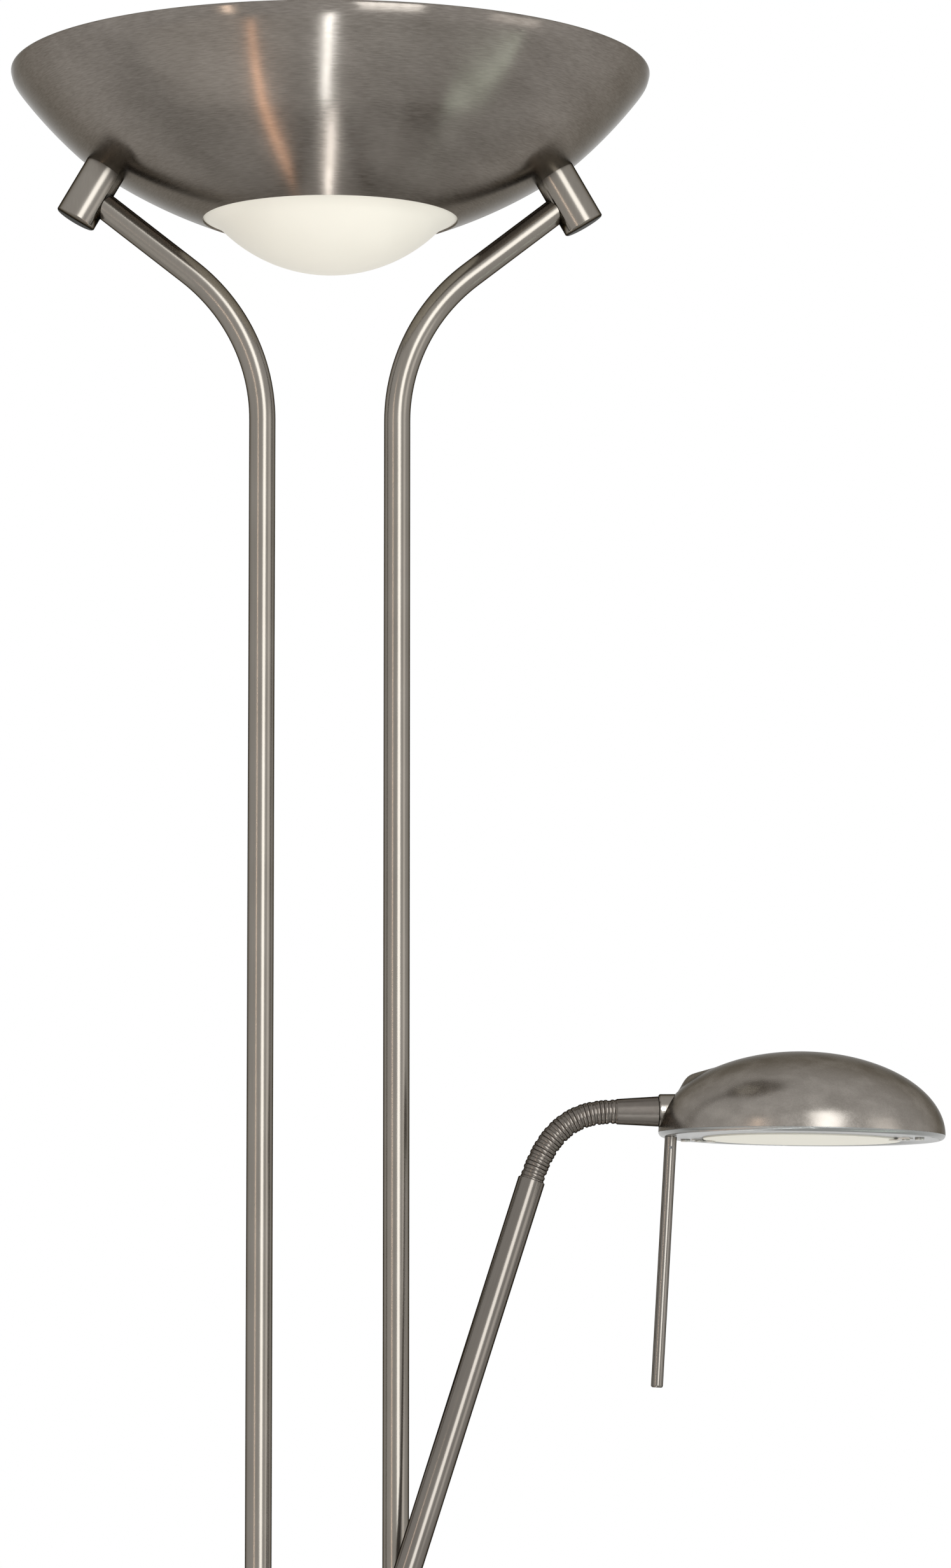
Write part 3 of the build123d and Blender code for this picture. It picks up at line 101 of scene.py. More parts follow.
class Sheet:
    # one tree, for a finish or for a form
    def __init__(self, tree):
        self.tree = tree

    def node(self, kind, settings=None, values=None, outlet=0):
        made = self.tree.nodes.new(kind)
        for name, setting in (settings or {}).items():
            if name == "stops":
                self.stops(made.color_ramp, setting)
            else:
                setattr(made, name, setting)
        for name, value in (values or {}).items():
            if isinstance(value, Wire):
                self.tree.links.new(value.socket, made.inputs[name])
            else:
                made.inputs[name].default_value = value
        return Wire(self, made.outputs[outlet]) if len(made.outputs) else None

    def stops(self, ramp, stops):
        for place, tone in stops[2:]:
            ramp.elements.new(place)
        for element, (place, tone) in zip(ramp.elements, sorted(stops)):
            element.position = place
            element.color = (tone, tone, tone, 1)

    def blend(self, factor, first, second):  # two colours through a Mix node
        return self.node("ShaderNodeMix", {"data_type": "RGBA"}, {0: factor, 6: first, 7: second}, 2)

    def place(self):
        return self.node("ShaderNodeTexCoord", outlet="Object")

    def grain(self, place, size, turn=0.0, detail=3.0):  # noise with a grain of that size, in metres
        laid = self.node("ShaderNodeMapping", {"vector_type": "TEXTURE"},
                         {"Vector": place, "Rotation": (0, radians(turn), 0), "Scale": size})
        return self.node("ShaderNodeTexNoise", None, {"Vector": laid, "Scale": 1.0, "Detail": detail})

    def shader(self, base, roughness, bump=None, height=0.0001, **constants):
        values = {"Base Color": base, "Roughness": roughness}
        if bump is not None:
            values["Normal"] = self.node("ShaderNodeBump", None,
                                         {"Strength": 0.5, "Distance": height, "Height": bump})
        for name, value in constants.items():
            values[socketOf[name]] = value
        return self.node("ShaderNodeBsdfPrincipled", None, values)


def finish(name, recipe):
    material = bpy.data.materials.new(name)
    material.use_nodes = True
    material.node_tree.nodes.clear()
    sheet = Sheet(material.node_tree)
    sheet.node("ShaderNodeOutputMaterial", None, {"Surface": recipe(sheet)})
    return material


# finishes

def tint(red, green, blue):
    return (red, green, blue, 1.0)


satinNickel = {"dark": tint(0.182, 0.165, 0.143), "light": tint(0.258, 0.237, 0.210),
               "edge": tint(0.06, 0.06, 0.05), "roughness": 0.22, "spread": 0.04,
               "grain": (0.0012, 0.0012, 0.05), "cloud": 0.035}
# painted shade: a darker copy of the satin nickel for the gooseneck, which faces the lamps
neckNickelPaintedShade = {"dark": tint(0.112, 0.099, 0.086), "light": tint(0.172, 0.155, 0.138),
              "edge": tint(0.05, 0.05, 0.045), "roughness": 0.24, "spread": 0.05,
              "grain": (0.003, 0.003, 0.003), "cloud": 0.02}
# painted shade: a darker copy of the satin nickel for the arm, its grain turned along the arm's lean
armNickelPaintedShade = {"dark": tint(0.132, 0.118, 0.104), "light": tint(0.200, 0.183, 0.163),
             "edge": tint(0.05, 0.05, 0.045), "roughness": 0.19, "spread": 0.03,
             "grain": (0.0012, 0.0012, 0.05), "cloud": 0.04, "turn": 17.74}
rodNickel = {"dark": tint(0.155, 0.141, 0.124), "light": tint(0.200, 0.184, 0.165),
             "edge": tint(0.06, 0.06, 0.05), "roughness": 0.17, "spread": 0.03,
             "grain": (0.003, 0.003, 0.06), "cloud": 0.05, "turn": -3.4}
satinShare = {"brush": 0.45, "cloud": 0.55, "dull": 0.06}
# spun nickel: the turned grain, bands and patches are the finish's own; its darker tones are painted shade, a
# darker floor's reflection put into the colour
spunNickelPaintedShade = {"dark": tint(0.142, 0.125, 0.109), "light": tint(0.258, 0.233, 0.208),
              "edge": tint(0.45, 0.44, 0.42), "roughness": 0.22, "spread": 0.10, "height": 0.000010,
              "ring": 0.0009, "stroke": 170.0, "bandRing": 26, "bandStroke": 5, "cloud": (0.05, 0.05, 0.02),
              "cloudTurn": 35.0, "brushShare": 0.50, "bandShare": 0.20, "patchShare": 0.30, "dull": 0.08,
              "brushed": 0.94, "rotation": 0.25}
domeNickel = {"dark": tint(0.165, 0.149, 0.131), "light": tint(0.330, 0.303, 0.274),
              "edge": tint(0.30, 0.29, 0.27), "roughness": 0.26, "spread": 0.10, "height": 0.000006,
              "cloud": 0.016, "flat": 0.7, "scuff": (0.0012, 0.0007, 0.0012), "patchShare": 0.32,
              "scuffShare": 0.45, "least": 0.12, "dull": 0.12}
plainSpread = 0.12  # how far a plain finish's roughness varies


def satinRecipe(look):
    def recipe(sheet):
        place = sheet.place()
        brush = sheet.grain(place, look["grain"], look.get("turn", 0.0))
        cloud = sheet.grain(place, (look["cloud"],) * 3, detail=2.0)
        tone = brush * satinShare["brush"] + cloud * satinShare["cloud"]
        base = sheet.blend(tone, look["dark"], look["light"])
        roughness = look["roughness"] + (brush - 0.5) * look["spread"] + (cloud - 0.5) * satinShare["dull"]
        return sheet.shader(base, roughness, metallic=1.0, edge=look["edge"])
    return recipe


def spunRecipe(look):
    def recipe(sheet):
        place = sheet.place()
        across = sheet.node("ShaderNodeSeparateXYZ", None, {"Vector": place})
        side, depth, up = across, across.also("Y"), across.also("Z")
        radius = (side * side + depth * depth) ** 0.5
        rings = sheet.node("ShaderNodeCombineXYZ", None, {
            0: (radius + up) / look["ring"], 1: side * look["stroke"], 2: depth * look["stroke"]})
        brush = sheet.node("ShaderNodeTexNoise", None, {"Vector": rings, "Scale": 1.0, "Detail": 3.0})
        broad = sheet.node("ShaderNodeCombineXYZ", None, {
            0: (radius + up) * look["bandRing"], 1: side * look["bandStroke"], 2: depth * look["bandStroke"]})
        band = sheet.node("ShaderNodeTexNoise", None, {"Vector": broad, "Scale": 1.0, "Detail": 2.0})
        cloud = sheet.grain(place, look["cloud"], look["cloudTurn"], 3.0)
        patch = sheet.node("ShaderNodeValToRGB", {"stops": [(0.36, 0.0), (0.64, 1.0)]}, {"Fac": cloud})
        stroke = sheet.node("ShaderNodeValToRGB", {"stops": [(0.30, 0.0), (0.70, 1.0)]}, {"Fac": brush})
        tone = stroke * look["brushShare"] + band * look["bandShare"] + patch * look["patchShare"]
        base = sheet.blend(tone, look["dark"], look["light"])
        roughness = look["roughness"] + (brush - 0.5) * look["spread"] + (band - 0.5) * look["dull"]
        return sheet.shader(base, roughness, brush, look["height"], metallic=1.0, edge=look["edge"],
                            brushed=look["brushed"], rotation=look["rotation"])
    return recipe


def domeRecipe(look):
    def recipe(sheet):
        place = sheet.place()
        cloud = sheet.grain(place, (look["cloud"], look["cloud"], look["cloud"] * look["flat"]), detail=3.0)
        scuff = sheet.grain(place, look["scuff"], detail=4.0)
        patch = sheet.node("ShaderNodeValToRGB", {"stops": [(0.42, 0.0), (0.66, 1.0)]}, {"Fac": cloud})
        tone = patch * look["patchShare"] + scuff * look["scuffShare"] + look["least"]
        base = sheet.blend(tone, look["dark"], look["light"])
        roughness = look["roughness"] + (scuff - 0.5) * look["spread"] + (cloud - 0.5) * look["dull"]
        return sheet.shader(base, roughness, scuff, look["height"], metallic=1.0, edge=look["edge"])
    return recipe


def plain(name, dark, light, roughness, size, height, **constants):  # one even finish with a fine grain
    def recipe(sheet):
        grain = sheet.grain(sheet.place(), (size, size, size), detail=4.0)
        base = sheet.blend(grain, dark, light)
        return sheet.shader(base, roughness + (grain - 0.5) * plainSpread, grain, height, **constants)
    return finish(name, recipe)


# painted light: a faint warm emission that brightens the opal lens and the head's frosted glass, which are
# not lit
paintedGlowTone = tint(1.0, 0.96, 0.86)
finishes = {
    "satin_nickel": finish("satinNickel", satinRecipe(satinNickel)),
    "satin_arm_painted_shade": finish("satinNickelArmPaintedShade", satinRecipe(armNickelPaintedShade)),
    "neck_nickel_painted_shade": finish("satinNickelNeckPaintedShade", satinRecipe(neckNickelPaintedShade)),
    "rod_nickel": finish("satinNickelRod", satinRecipe(rodNickel)),
    "spun_nickel_painted_shade": finish("spunNickelPaintedShade", spunRecipe(spunNickelPaintedShade)),
    "dome_nickel": finish("domeNickel", domeRecipe(domeNickel)),
    "plate_enamel": plain("plateLacquer", tint(0.25, 0.253, 0.246), tint(0.32, 0.323, 0.313),
                          roughness=0.30, size=0.0008, height=0.000004, metallic=1.0),
    # painted light: the lens glows a little
    "opal_glass": plain("opalGlass", tint(0.71, 0.685, 0.605), tint(0.745, 0.72, 0.64),
                        roughness=0.50, size=0.03, height=0.00001, shine=0.15, glow=paintedGlowTone,
                        glowStrength=0.09),
    # painted light: the head glass glows a little
    "frosted_glass": plain("frostedGlass", tint(0.67, 0.65, 0.57), tint(0.72, 0.70, 0.62),
                           roughness=0.50, size=0.02, height=0.00001, shine=0.15, glow=paintedGlowTone,
                           glowStrength=0.03),
    "clear_glass": plain("clearGlass", tint(0.90, 0.93, 0.93), tint(0.96, 0.98, 0.98),
                         roughness=0.06, size=0.01, height=0.000005, transmission=0.9, ior=1.45, alpha=0.45),
    "fasteners": plain("zincPlate", tint(0.46, 0.45, 0.42), tint(0.58, 0.57, 0.53),
                       roughness=0.34, size=0.0015, height=0.00001, metallic=1.0),
    "brass": plain("rolledBrass", tint(0.50, 0.33, 0.12), tint(0.62, 0.43, 0.18),
                   roughness=0.30, size=0.002, height=0.00001, metallic=1.0),
    "reflector": plain("spunAluminium", tint(0.66, 0.66, 0.65), tint(0.78, 0.78, 0.77),
                       roughness=0.22, size=0.0015, height=0.00001, metallic=1.0),
    "weight_iron": plain("castIron", tint(0.012, 0.012, 0.012), tint(0.030, 0.029, 0.028),
                         roughness=0.72, size=0.0014, height=0.0003),
    "frame_aluminium": plain("dieCastAluminium", tint(0.34, 0.34, 0.33), tint(0.45, 0.45, 0.44),
                             roughness=0.46, size=0.0012, height=0.00005, metallic=1.0),
    "black_rubber": plain("blackRubber", tint(0.010, 0.010, 0.010), tint(0.020, 0.020, 0.020),
                          roughness=0.70, size=0.0008, height=0.00005),
    "knob_plastic": plain("knobPlastic", tint(0.012, 0.012, 0.012), tint(0.022, 0.022, 0.022),
                          roughness=0.48, size=0.0005, height=0.00003),
    "circuit_board": plain("circuitBoard", tint(0.14, 0.075, 0.025), tint(0.20, 0.11, 0.04),
                           roughness=0.50, size=0.003, height=0.00001),
    "dark_plastic": plain("darkPlastic", tint(0.014, 0.014, 0.016), tint(0.026, 0.026, 0.028),
                          roughness=0.50, size=0.0006, height=0.00003),
    "ceramic": plain("steatite", tint(0.68, 0.65, 0.57), tint(0.76, 0.73, 0.66),
                     roughness=0.55, size=0.0015, height=0.00004),
    "pointer_white": plain("pointerWhite", tint(0.72, 0.72, 0.70), tint(0.78, 0.78, 0.76),
                           roughness=0.5, size=0.001, height=0.00001),
}
print("finishes made:", len(finishes))


# forms grown by geometry nodes

def formTree(name, sizes, build):
    tree = bpy.data.node_groups.new(name, "GeometryNodeTree")
    tree.interface.new_socket("Geometry", in_out="INPUT", socket_type="NodeSocketGeometry")
    for label, kind in sizes:
        tree.interface.new_socket(label, in_out="INPUT", socket_type=kind)
    tree.interface.new_socket("Geometry", in_out="OUTPUT", socket_type="NodeSocketGeometry")
    sheet = Sheet(tree)
    given = sheet.node("NodeGroupInput", outlet="Geometry")
    grown = build(sheet, given)
    real = sheet.node("GeometryNodeRealizeInstances", None, {"Geometry": grown})
    painted = sheet.node("GeometryNodeSetMaterial", None,
                         {"Geometry": real, "Material": given.also("Finish")})
    sheet.node("NodeGroupOutput", None, {"Geometry": painted})
    return tree


def turnedBuild(sheet, outline):  # an outline of points turned about Z
    points = sheet.node("GeometryNodeAttributeDomainSize", {"component": "MESH"}, {"Geometry": outline})
    sectors = outline.also("Sectors")
    grid = sheet.node("GeometryNodeMeshGrid", None, {"Vertices X": sectors + 1, "Vertices Y": points})
    index = sheet.node("GeometryNodeInputIndex")
    column = (index / points).__floor__()
    row = index - column * points
    spot = sheet.node("GeometryNodeSampleIndex", {"data_type": "FLOAT_VECTOR", "domain": "POINT"},
                      {"Geometry": outline, "Value": sheet.node("GeometryNodeInputPosition"), "Index": row})
    split = sheet.node("ShaderNodeSeparateXYZ", None, {"Vector": spot})
    angle = column * (2 * pi) / sectors
    around = sheet.node("ShaderNodeCombineXYZ", None, {
        0: split * split.math("COSINE", angle), 1: split * split.math("SINE", angle), 2: split.also("Z")})
    laid = sheet.node("GeometryNodeSetPosition", None, {"Geometry": grid, "Position": around})
    return sheet.node("GeometryNodeMergeByDistance", None, {"Geometry": laid, "Distance": 0.000002})


def tubeBuild(sheet, path):  # a round tube along a path
    circle = sheet.node("GeometryNodeCurvePrimitiveCircle", None,
                        {"Resolution": path.also("Sides"), "Radius": path.also("Radius")})
    return sheet.node("GeometryNodeCurveToMesh", None,
                      {"Curve": path, "Profile Curve": circle, "Scale": 1.0, "Fill Caps": True})


def hoseBuild(sheet, path):  # wound ribs along a path, each a half-round turn
    run = sheet.node("GeometryNodeResampleCurve", None, {"Curve": path, "Count": path.also("Rings")})
    along = sheet.node("GeometryNodeSplineParameter")
    phase = (along * path.also("Ribs") + path.also("Shift")) % 1.0
    swell = (1.0 - (phase * 2 - 1) ** 2.0) ** 0.5
    circle = sheet.node("GeometryNodeCurvePrimitiveCircle", None,
                        {"Resolution": path.also("Sides"), "Radius": 1.0})
    return sheet.node("GeometryNodeCurveToMesh", None, {
        "Curve": run, "Profile Curve": circle, "Fill Caps": True,
        "Scale": path.also("Valley") + swell * path.also("Depth")})


def gripBuild(sheet, spots):  # upright bars on a ring of points
    bar = sheet.node("GeometryNodeMeshCylinder", None, {
        "Vertices": 10, "Radius": spots.also("Thickness"), "Depth": spots.also("Length")})
    return sheet.node("GeometryNodeInstanceOnPoints", None, {"Points": spots, "Instance": bar})


whole, size, paint = "NodeSocketInt", "NodeSocketFloat", "NodeSocketMaterial"
turnedForm = formTree("turnedForm", [("Sectors", whole), ("Finish", paint)], turnedBuild)
tubeForm = formTree("tubeForm", [("Radius", size), ("Sides", whole), ("Finish", paint)], tubeBuild)
hoseForm = formTree("hoseForm", [("Ribs", size), ("Shift", size), ("Rings", whole), ("Valley", size),
                                 ("Depth", size), ("Sides", whole), ("Finish", paint)], hoseBuild)
gripForm = formTree("gripForm", [("Thickness", size), ("Length", size), ("Finish", paint)], gripBuild)


def grow(name, tree, seed, values, place=None, sharp=32.0):
    holder = bpy.data.objects.new(name + "Seed", seed)
    bpy.context.scene.collection.objects.link(holder)
    modifier = holder.modifiers.new(tree.name, "NODES")
    modifier.node_group = tree
    for item in tree.interface.items_tree:
        if item.in_out == "INPUT" and item.name in values:
            modifier[item.identifier] = values[item.name]
    graph = bpy.context.evaluated_depsgraph_get()
    mesh = bpy.data.meshes.new_from_object(holder.evaluated_get(graph), depsgraph=graph)
    holder.modifiers.remove(modifier)
    bpy.data.objects.remove(holder)
    return solid(name, mesh, place, sharp)


def solid(name, mesh, place=None, sharp=32.0):
    work = bmesh.new()
    work.from_mesh(mesh)
    bmesh.ops.remove_doubles(work, verts=work.verts, dist=0.000002)
    bmesh.ops.recalc_face_normals(work, faces=work.faces)
    if place is not None:
        work.transform(place)
    work.to_mesh(mesh)
    work.free()
    mesh.shade_smooth()
    mesh.set_sharp_from_angle(angle=radians(sharp))
    piece = bpy.data.objects.new(name, mesh)
    bpy.context.scene.collection.objects.link(piece)
    return piece


def settle(piece, body, slot, *nodes):
    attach(piece, body)
    if nodes:
        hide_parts(*nodes)
    return piece


def leaning(point, lean):  # a frame whose Z runs along a line that leans to the right
    return Matrix.Translation(Vector(point) * mm) @ Matrix.Rotation(radians(lean), 4, "Y")


def facing(point):  # a frame whose Z runs towards the front
    return Matrix.Translation(Vector(point) * mm) @ Matrix.Rotation(radians(90), 4, "X")


def beyond(point, lean, distance):
    x, y, z = point
    return (x + distance * sin(radians(lean)), y, z + distance * cos(radians(lean)))


def outlineMesh(points):
    mesh = bpy.data.meshes.new("outline")
    mesh.from_pydata([(radius * mm, 0, height * mm) for radius, height in points],
                     [(step, step + 1) for step in range(len(points) - 1)], [])
    return mesh


def turned(name, points, look, place=None, sectors=96, sharp=32.0):  # points are radius and height in mm
    sizes = {"Sectors": sectors, "Finish": finishes[look]}
    return grow(name, turnedForm, outlineMesh(points), sizes, place, sharp)


def pathCurve(points):
    curve = bpy.data.curves.new("path", "CURVE")
    curve.dimensions = "3D"
    spline = curve.splines.new("POLY")
    spline.points.add(len(points) - 1)
    for spot, (x, y, z) in zip(spline.points, points):
        spot.co = (x * mm, y * mm, z * mm, 1)
    return curve


def arc(centre, radius, start, end, count):
    steps = [radians(start + (end - start) * step / count) for step in range(count + 1)]
    return [(centre[0] + radius * cos(step), centre[1] + radius * sin(step)) for step in steps]


def bowed(start, end, bulge, count):  # a shallow curve that bows out to the right of its run
    across, up = end[0] - start[0], end[1] - start[1]
    length = hypot(across, up)
    middle = ((start[0] + end[0]) / 2 + up / length * 2 * bulge,
              (start[1] + end[1]) / 2 - across / length * 2 * bulge)
    run = []
    for step in range(count + 1):
        t = step / count
        run.append(tuple((1 - t) ** 2 * a + 2 * t * (1 - t) * b + t ** 2 * c
                         for a, b, c in zip(start, middle, end)))
    return run


def relaxed(points, rounds):  # rounds a run's corners and keeps its ends
    for _ in range(rounds):
        points = [points[0]] + [tuple((a + 2 * b + c) / 4 for a, b, c in zip(*points[step - 1:step + 2]))
                                for step in range(1, len(points) - 1)] + [points[-1]]
    return points


def inside(points, wall):  # the run moved to its left by the wall
    moved = []
    for step, (x, z) in enumerate(points):
        before, after = points[max(step - 1, 0)], points[min(step + 1, len(points) - 1)]
        across, up = after[0] - before[0], after[1] - before[1]
        length = hypot(across, up)
        moved.append((x - up / length * wall, z + across / length * wall))
    return moved


def tangentRun(start, tangent, end, count):  # an arc that leaves start along the tangent and reaches end
    chord = Vector(end) - Vector(start)
    normal = Vector((-tangent[1], tangent[0])).normalized()
    radius = chord.length_squared / (2 * chord.dot(normal))
    centre = Vector(start) + normal * radius
    first = atan2(start[1] - centre.y, start[0] - centre.x)
    last = atan2(end[1] - centre.y, end[0] - centre.x)
    points = arc(centre, abs(radius), degrees(first), degrees(last), count)
    heading = Vector((-sin(last), cos(last))) * (1 if radius > 0 else -1)
    return points, heading


def drilled(piece, spot, radius, depth):  # a blind hole from the front, its mouth at that spot
    hole = bmesh.new()
    bmesh.ops.create_cone(hole, cap_ends=True, segments=28, radius1=radius * mm, radius2=radius * mm,
                          depth=2 * depth * mm, matrix=facing(spot))
    bore = bpy.data.meshes.new("bore")
    hole.to_mesh(bore)
    hole.free()
    cutter = bpy.data.objects.new("bore", bore)
    bpy.context.scene.collection.objects.link(cutter)
    cut = piece.modifiers.new("cut", "BOOLEAN")
    cut.object = cutter
    graph = bpy.context.evaluated_depsgraph_get()
    mesh = bpy.data.meshes.new_from_object(piece.evaluated_get(graph), depsgraph=graph)
    piece.modifiers.remove(cut)
    bpy.data.objects.remove(cutter)
    piece.data = mesh
    mesh.shade_smooth()
    mesh.set_sharp_from_angle(angle=radians(32))
    return piece


def copied(name, node, look):  # a CAD solid's own shape with clean shading
    mesh = frame["nodes"][node].data.copy()
    mesh.materials.clear()
    mesh.materials.append(finishes[look])
    return solid(name, mesh, sharp=30.0)


# uplighter

bowl = {"rim": 190.2, "rimHeight": 1797.0, "lip": 6.0, "flare": 1.2, "bead": 1.7, "wall": 1.2, "sectors": 224,
        "knee": (149.0, 1747.7), "hole": (76.0, 1708.7), "upperBulge": 1.6, "lowerBulge": 2.8,
        "beadDrop": 0.2, "softening": 5}
corner = (bowl["rim"] - bowl["flare"], bowl["rimHeight"] - bowl["lip"])
rise = bowed(bowl["hole"], bowl["knee"], bowl["lowerBulge"], 40)
rise += bowed(bowl["knee"], corner, bowl["upperBulge"], 30)[1:]
rise += [(corner[0] + bowl["flare"] * lift / 5, corner[1] + lift) for lift in (1.0, 2.0, 3.0, 4.0, 5.0)]
outerRun = relaxed(rise, bowl["softening"])
innerRun = inside(outerRun, bowl["wall"])
beadCentre = (bowl["rim"] - bowl["bead"], bowl["rimHeight"] - bowl["beadDrop"])
beadRun = arc(beadCentre, bowl["bead"], 0, 210, 18)
# the bowl's darker tones are painted shade
bowlPiece = turned("uplighterBowl", outerRun + beadRun + innerRun[::-1] + [outerRun[0]], "spun_nickel_painted_shade",
                   sectors=bowl["sectors"], sharp=50)
settle(bowlPiece, "stand", "satin_nickel", "bowl_shell")

lens = {"radius": 67.0, "rimHeight": 1705.9, "sphere": 92.0, "thickness": 3.5, "flange": 82.0,
        "flangeSlope": 25.0, "flangeSteps": 8, "softening": 3}
domeAngle = degrees(asin(lens["radius"] / lens["sphere"]))
sphereCentre = (0, lens["rimHeight"] + lens["sphere"] * cos(radians(domeAngle)))
flangeHeight = lens["rimHeight"] + (lens["flange"] - lens["radius"]) * tan(radians(lens["flangeSlope"]))
under = arc(sphereCentre, lens["sphere"], -90, -90 + domeAngle, 36)
under += [(lens["radius"] + step * (lens["flange"] - lens["radius"]) / lens["flangeSteps"],
           lens["rimHeight"] + step * (flangeHeight - lens["rimHeight"]) / lens["flangeSteps"])
          for step in range(1, lens["flangeSteps"] + 1)]
under = relaxed(under, lens["softening"])
over = inside(under, lens["thickness"])
over[0] = (0, over[0][1])
lensPiece = turned("opalLens", under + over[::-1], "opal_glass", sectors=160, sharp=60)
settle(lensPiece, "stand", "opal_glass", "glass_lens")

for hand in ("left", "right"):
    settle(copied(f"barrel{hand.title()}", f"barrel_{hand}", "satin_nickel"), "stand", "satin_nickel",
           f"barrel_{hand}")
print("uplighter made")


# stems

stems = {"radius": 7.8, "spread": 40.0, "cornerHeight": 1643.0, "bend": 112.0, "end": (137.606, 1718.391),
         "split": (758.0, 762.0), "foot": 30.0, "sides": 48, "steps": 28}
collarSize = {"bore": 7.85, "radius": 14, "foot": 30, "top": 37, "round": 2.5, "sectors": 72}


def stemPath(side):
    turn = atan2(stems["end"][0] - stems["spread"], stems["end"][1] - stems["cornerHeight"])
    back = stems["bend"] * tan(turn / 2)
    centre = (stems["spread"] + stems["bend"], stems["cornerHeight"] - back)
    turns = [turn * step / stems["steps"] for step in range(stems["steps"] + 1)]
    bend = [(centre[0] - stems["bend"] * cos(step), centre[1] + stems["bend"] * sin(step)) for step in turns]
    run = [(stems["spread"], stems["split"][1])] + bend + [stems["end"]]
    return [(side * x, 0, z) for x, z in run]


def collarRing():
    outer, start = collarSize["radius"], collarSize["top"] - collarSize["round"]
    foot, inner = (collarSize["bore"], collarSize["foot"]), (collarSize["bore"], collarSize["top"])
    shoulder = arc((outer - collarSize["round"], start), collarSize["round"], 0, 90, 8)
    return [foot, (outer, collarSize["foot"]), (outer, start)] + shoulder[1:] + [inner, foot]


for side, hand in ((-1, "left"), (1, "right")):
    sizes = {"Radius": stems["radius"] * mm, "Sides": stems["sides"], "Finish": finishes["satin_nickel"]}
    upper = grow(f"stemUpper{hand.title()}", tubeForm, pathCurve(stemPath(side)), sizes)
    settle(upper, "stand", "satin_nickel", f"stem_upper_{hand}")
    run = [(side * stems["spread"], 0, stems["foot"]), (side * stems["spread"], 0, stems["split"][0])]
    lower = grow(f"stemLower{hand.title()}", tubeForm, pathCurve(run), sizes)
    settle(lower, "stand", "satin_nickel", f"stem_lower_{hand}")
    collar = turned(f"stemCollar{hand.title()}", collarRing(), "satin_nickel",
                    leaning((side * stems["spread"], 0, 0), 0), collarSize["sectors"])
    settle(collar, "stand", "satin_nickel", "stem_collars")
print("stems made")


# base

base = {"radius": 140.0, "lift": 0.8, "skirt": 12.0, "shoulder": (131.5, 23.1), "flat": (72.0, 30.0),
        "inner": 36, "top": 30.0, "underTop": 28.8, "wall": 1.2}
shoulderRun, heading = tangentRun((base["radius"], base["skirt"]), (0, 1), base["shoulder"], 14)
crownRun, heading = tangentRun(base["shoulder"], heading, base["flat"], 24)
coverOuter = [(base["radius"], base["lift"])] + shoulderRun + crownRun[1:]
coverOuter += [(base["inner"], base["top"]), (0, base["top"])]
coverInner = inside(coverOuter, base["wall"])
coverInner[-1] = (0, base["underTop"])
# the base cover shares the spun nickel and its painted shade
coverPiece = turned("baseCover", coverOuter + coverInner[::-1] + [coverOuter[0]], "spun_nickel_painted_shade",
                    sectors=192, sharp=50)
settle(coverPiece, "stand", "satin_nickel", "base_cover")
print("base made")


# control housing and knobs

for name, node in (("housingBody", "housing_body"), ("housingTopLid", "housing_top_lid"),
                   ("housingBottomLid", "housing_bottom_lid")):
    settle(copied(name, node, "satin_nickel"), "stand", "satin_nickel", node)

knob = {"radius": 10.0, "ribs": 28, "rib": 0.5, "ribLength": 10.5, "ribHeight": 6.0, "spread": 15.5,
        "height": 738.0, "face": -17.6, "round": 1.2, "roundCentre": (8.8, 11.8),
        "side": [(0, 6.0), (7, 6.0), (7, 0), (9.6, 0), (10.0, 0.5), (10.0, 11.6)],
        "dish": [(7.4, 13.0), (6.9, 12.6), (0, 12.4)],
        "shaft": [(0, -7.5), (2.7, -7.5), (3.0, -7.2), (3.0, 6.2), (0, 6.2)],
        "pointer": (1.1, 4.6, 0.5), "pointerEdge": 0.12, "pointerAt": (0, 4.2, 12.45)}


def ringOfPoints(count, radius, height):
    mesh = bpy.data.meshes.new("ring")
    turns = [2 * pi * step / count for step in range(count)]
    spots = [(radius * cos(turn) * mm, radius * sin(turn) * mm, height * mm) for turn in turns]
    mesh.from_pydata(spots, [], [])
    return mesh


def pointerMesh():
    wide, tall, thick = knob["pointer"]
    mark = bmesh.new()
    bmesh.ops.create_cube(mark, size=1.0, matrix=Matrix.Diagonal((wide * mm, tall * mm, thick * mm, 1)))
    bmesh.ops.bevel(mark, geom=mark.edges[:], offset=knob["pointerEdge"] * mm, segments=2, affect="EDGES")
    mesh = bpy.data.meshes.new("pointer")
    mark.to_mesh(mesh)
    mark.free()
    mesh.materials.append(finishes["pointer_white"])
    return mesh


pointerPlace = Matrix.Translation([part * mm for part in knob["pointerAt"]])
for side, hand in ((-1, "left"), (1, "right")):
    knobPlace = facing((side * knob["spread"], knob["face"], knob["height"]))
    cap = knob["side"] + arc(knob["roundCentre"], knob["round"], 0, 90, 6) + knob["dish"]
    knobPiece = turned(f"knobCap{hand.title()}", cap, "knob_plastic", knobPlace, 72, 40)
    settle(knobPiece, f"knob_{hand}", "knob_plastic", f"knob_{hand}")
    sizes = {"Thickness": knob["rib"] * mm, "Length": knob["ribLength"] * mm,
             "Finish": finishes["knob_plastic"]}
    ribSpots = ringOfPoints(knob["ribs"], knob["radius"], knob["ribHeight"])
    grip = grow(f"knobGrip{hand.title()}", gripForm, ribSpots, sizes, knobPlace)
    settle(grip, f"knob_{hand}", "knob_plastic", f"knob_{hand}")
    shaft = turned(f"knobShaft{hand.title()}", knob["shaft"], "fasteners", knobPlace, 32)
    settle(shaft, f"knob_{hand}", "fasteners", f"knob_{hand}")
    pointer = solid(f"knobPointer{hand.title()}", pointerMesh(), knobPlace @ pointerPlace)
    settle(pointer, f"knob_{hand}", "knob_plastic", f"knob_{hand}")
print("housing and knobs made")


# arm and gooseneck

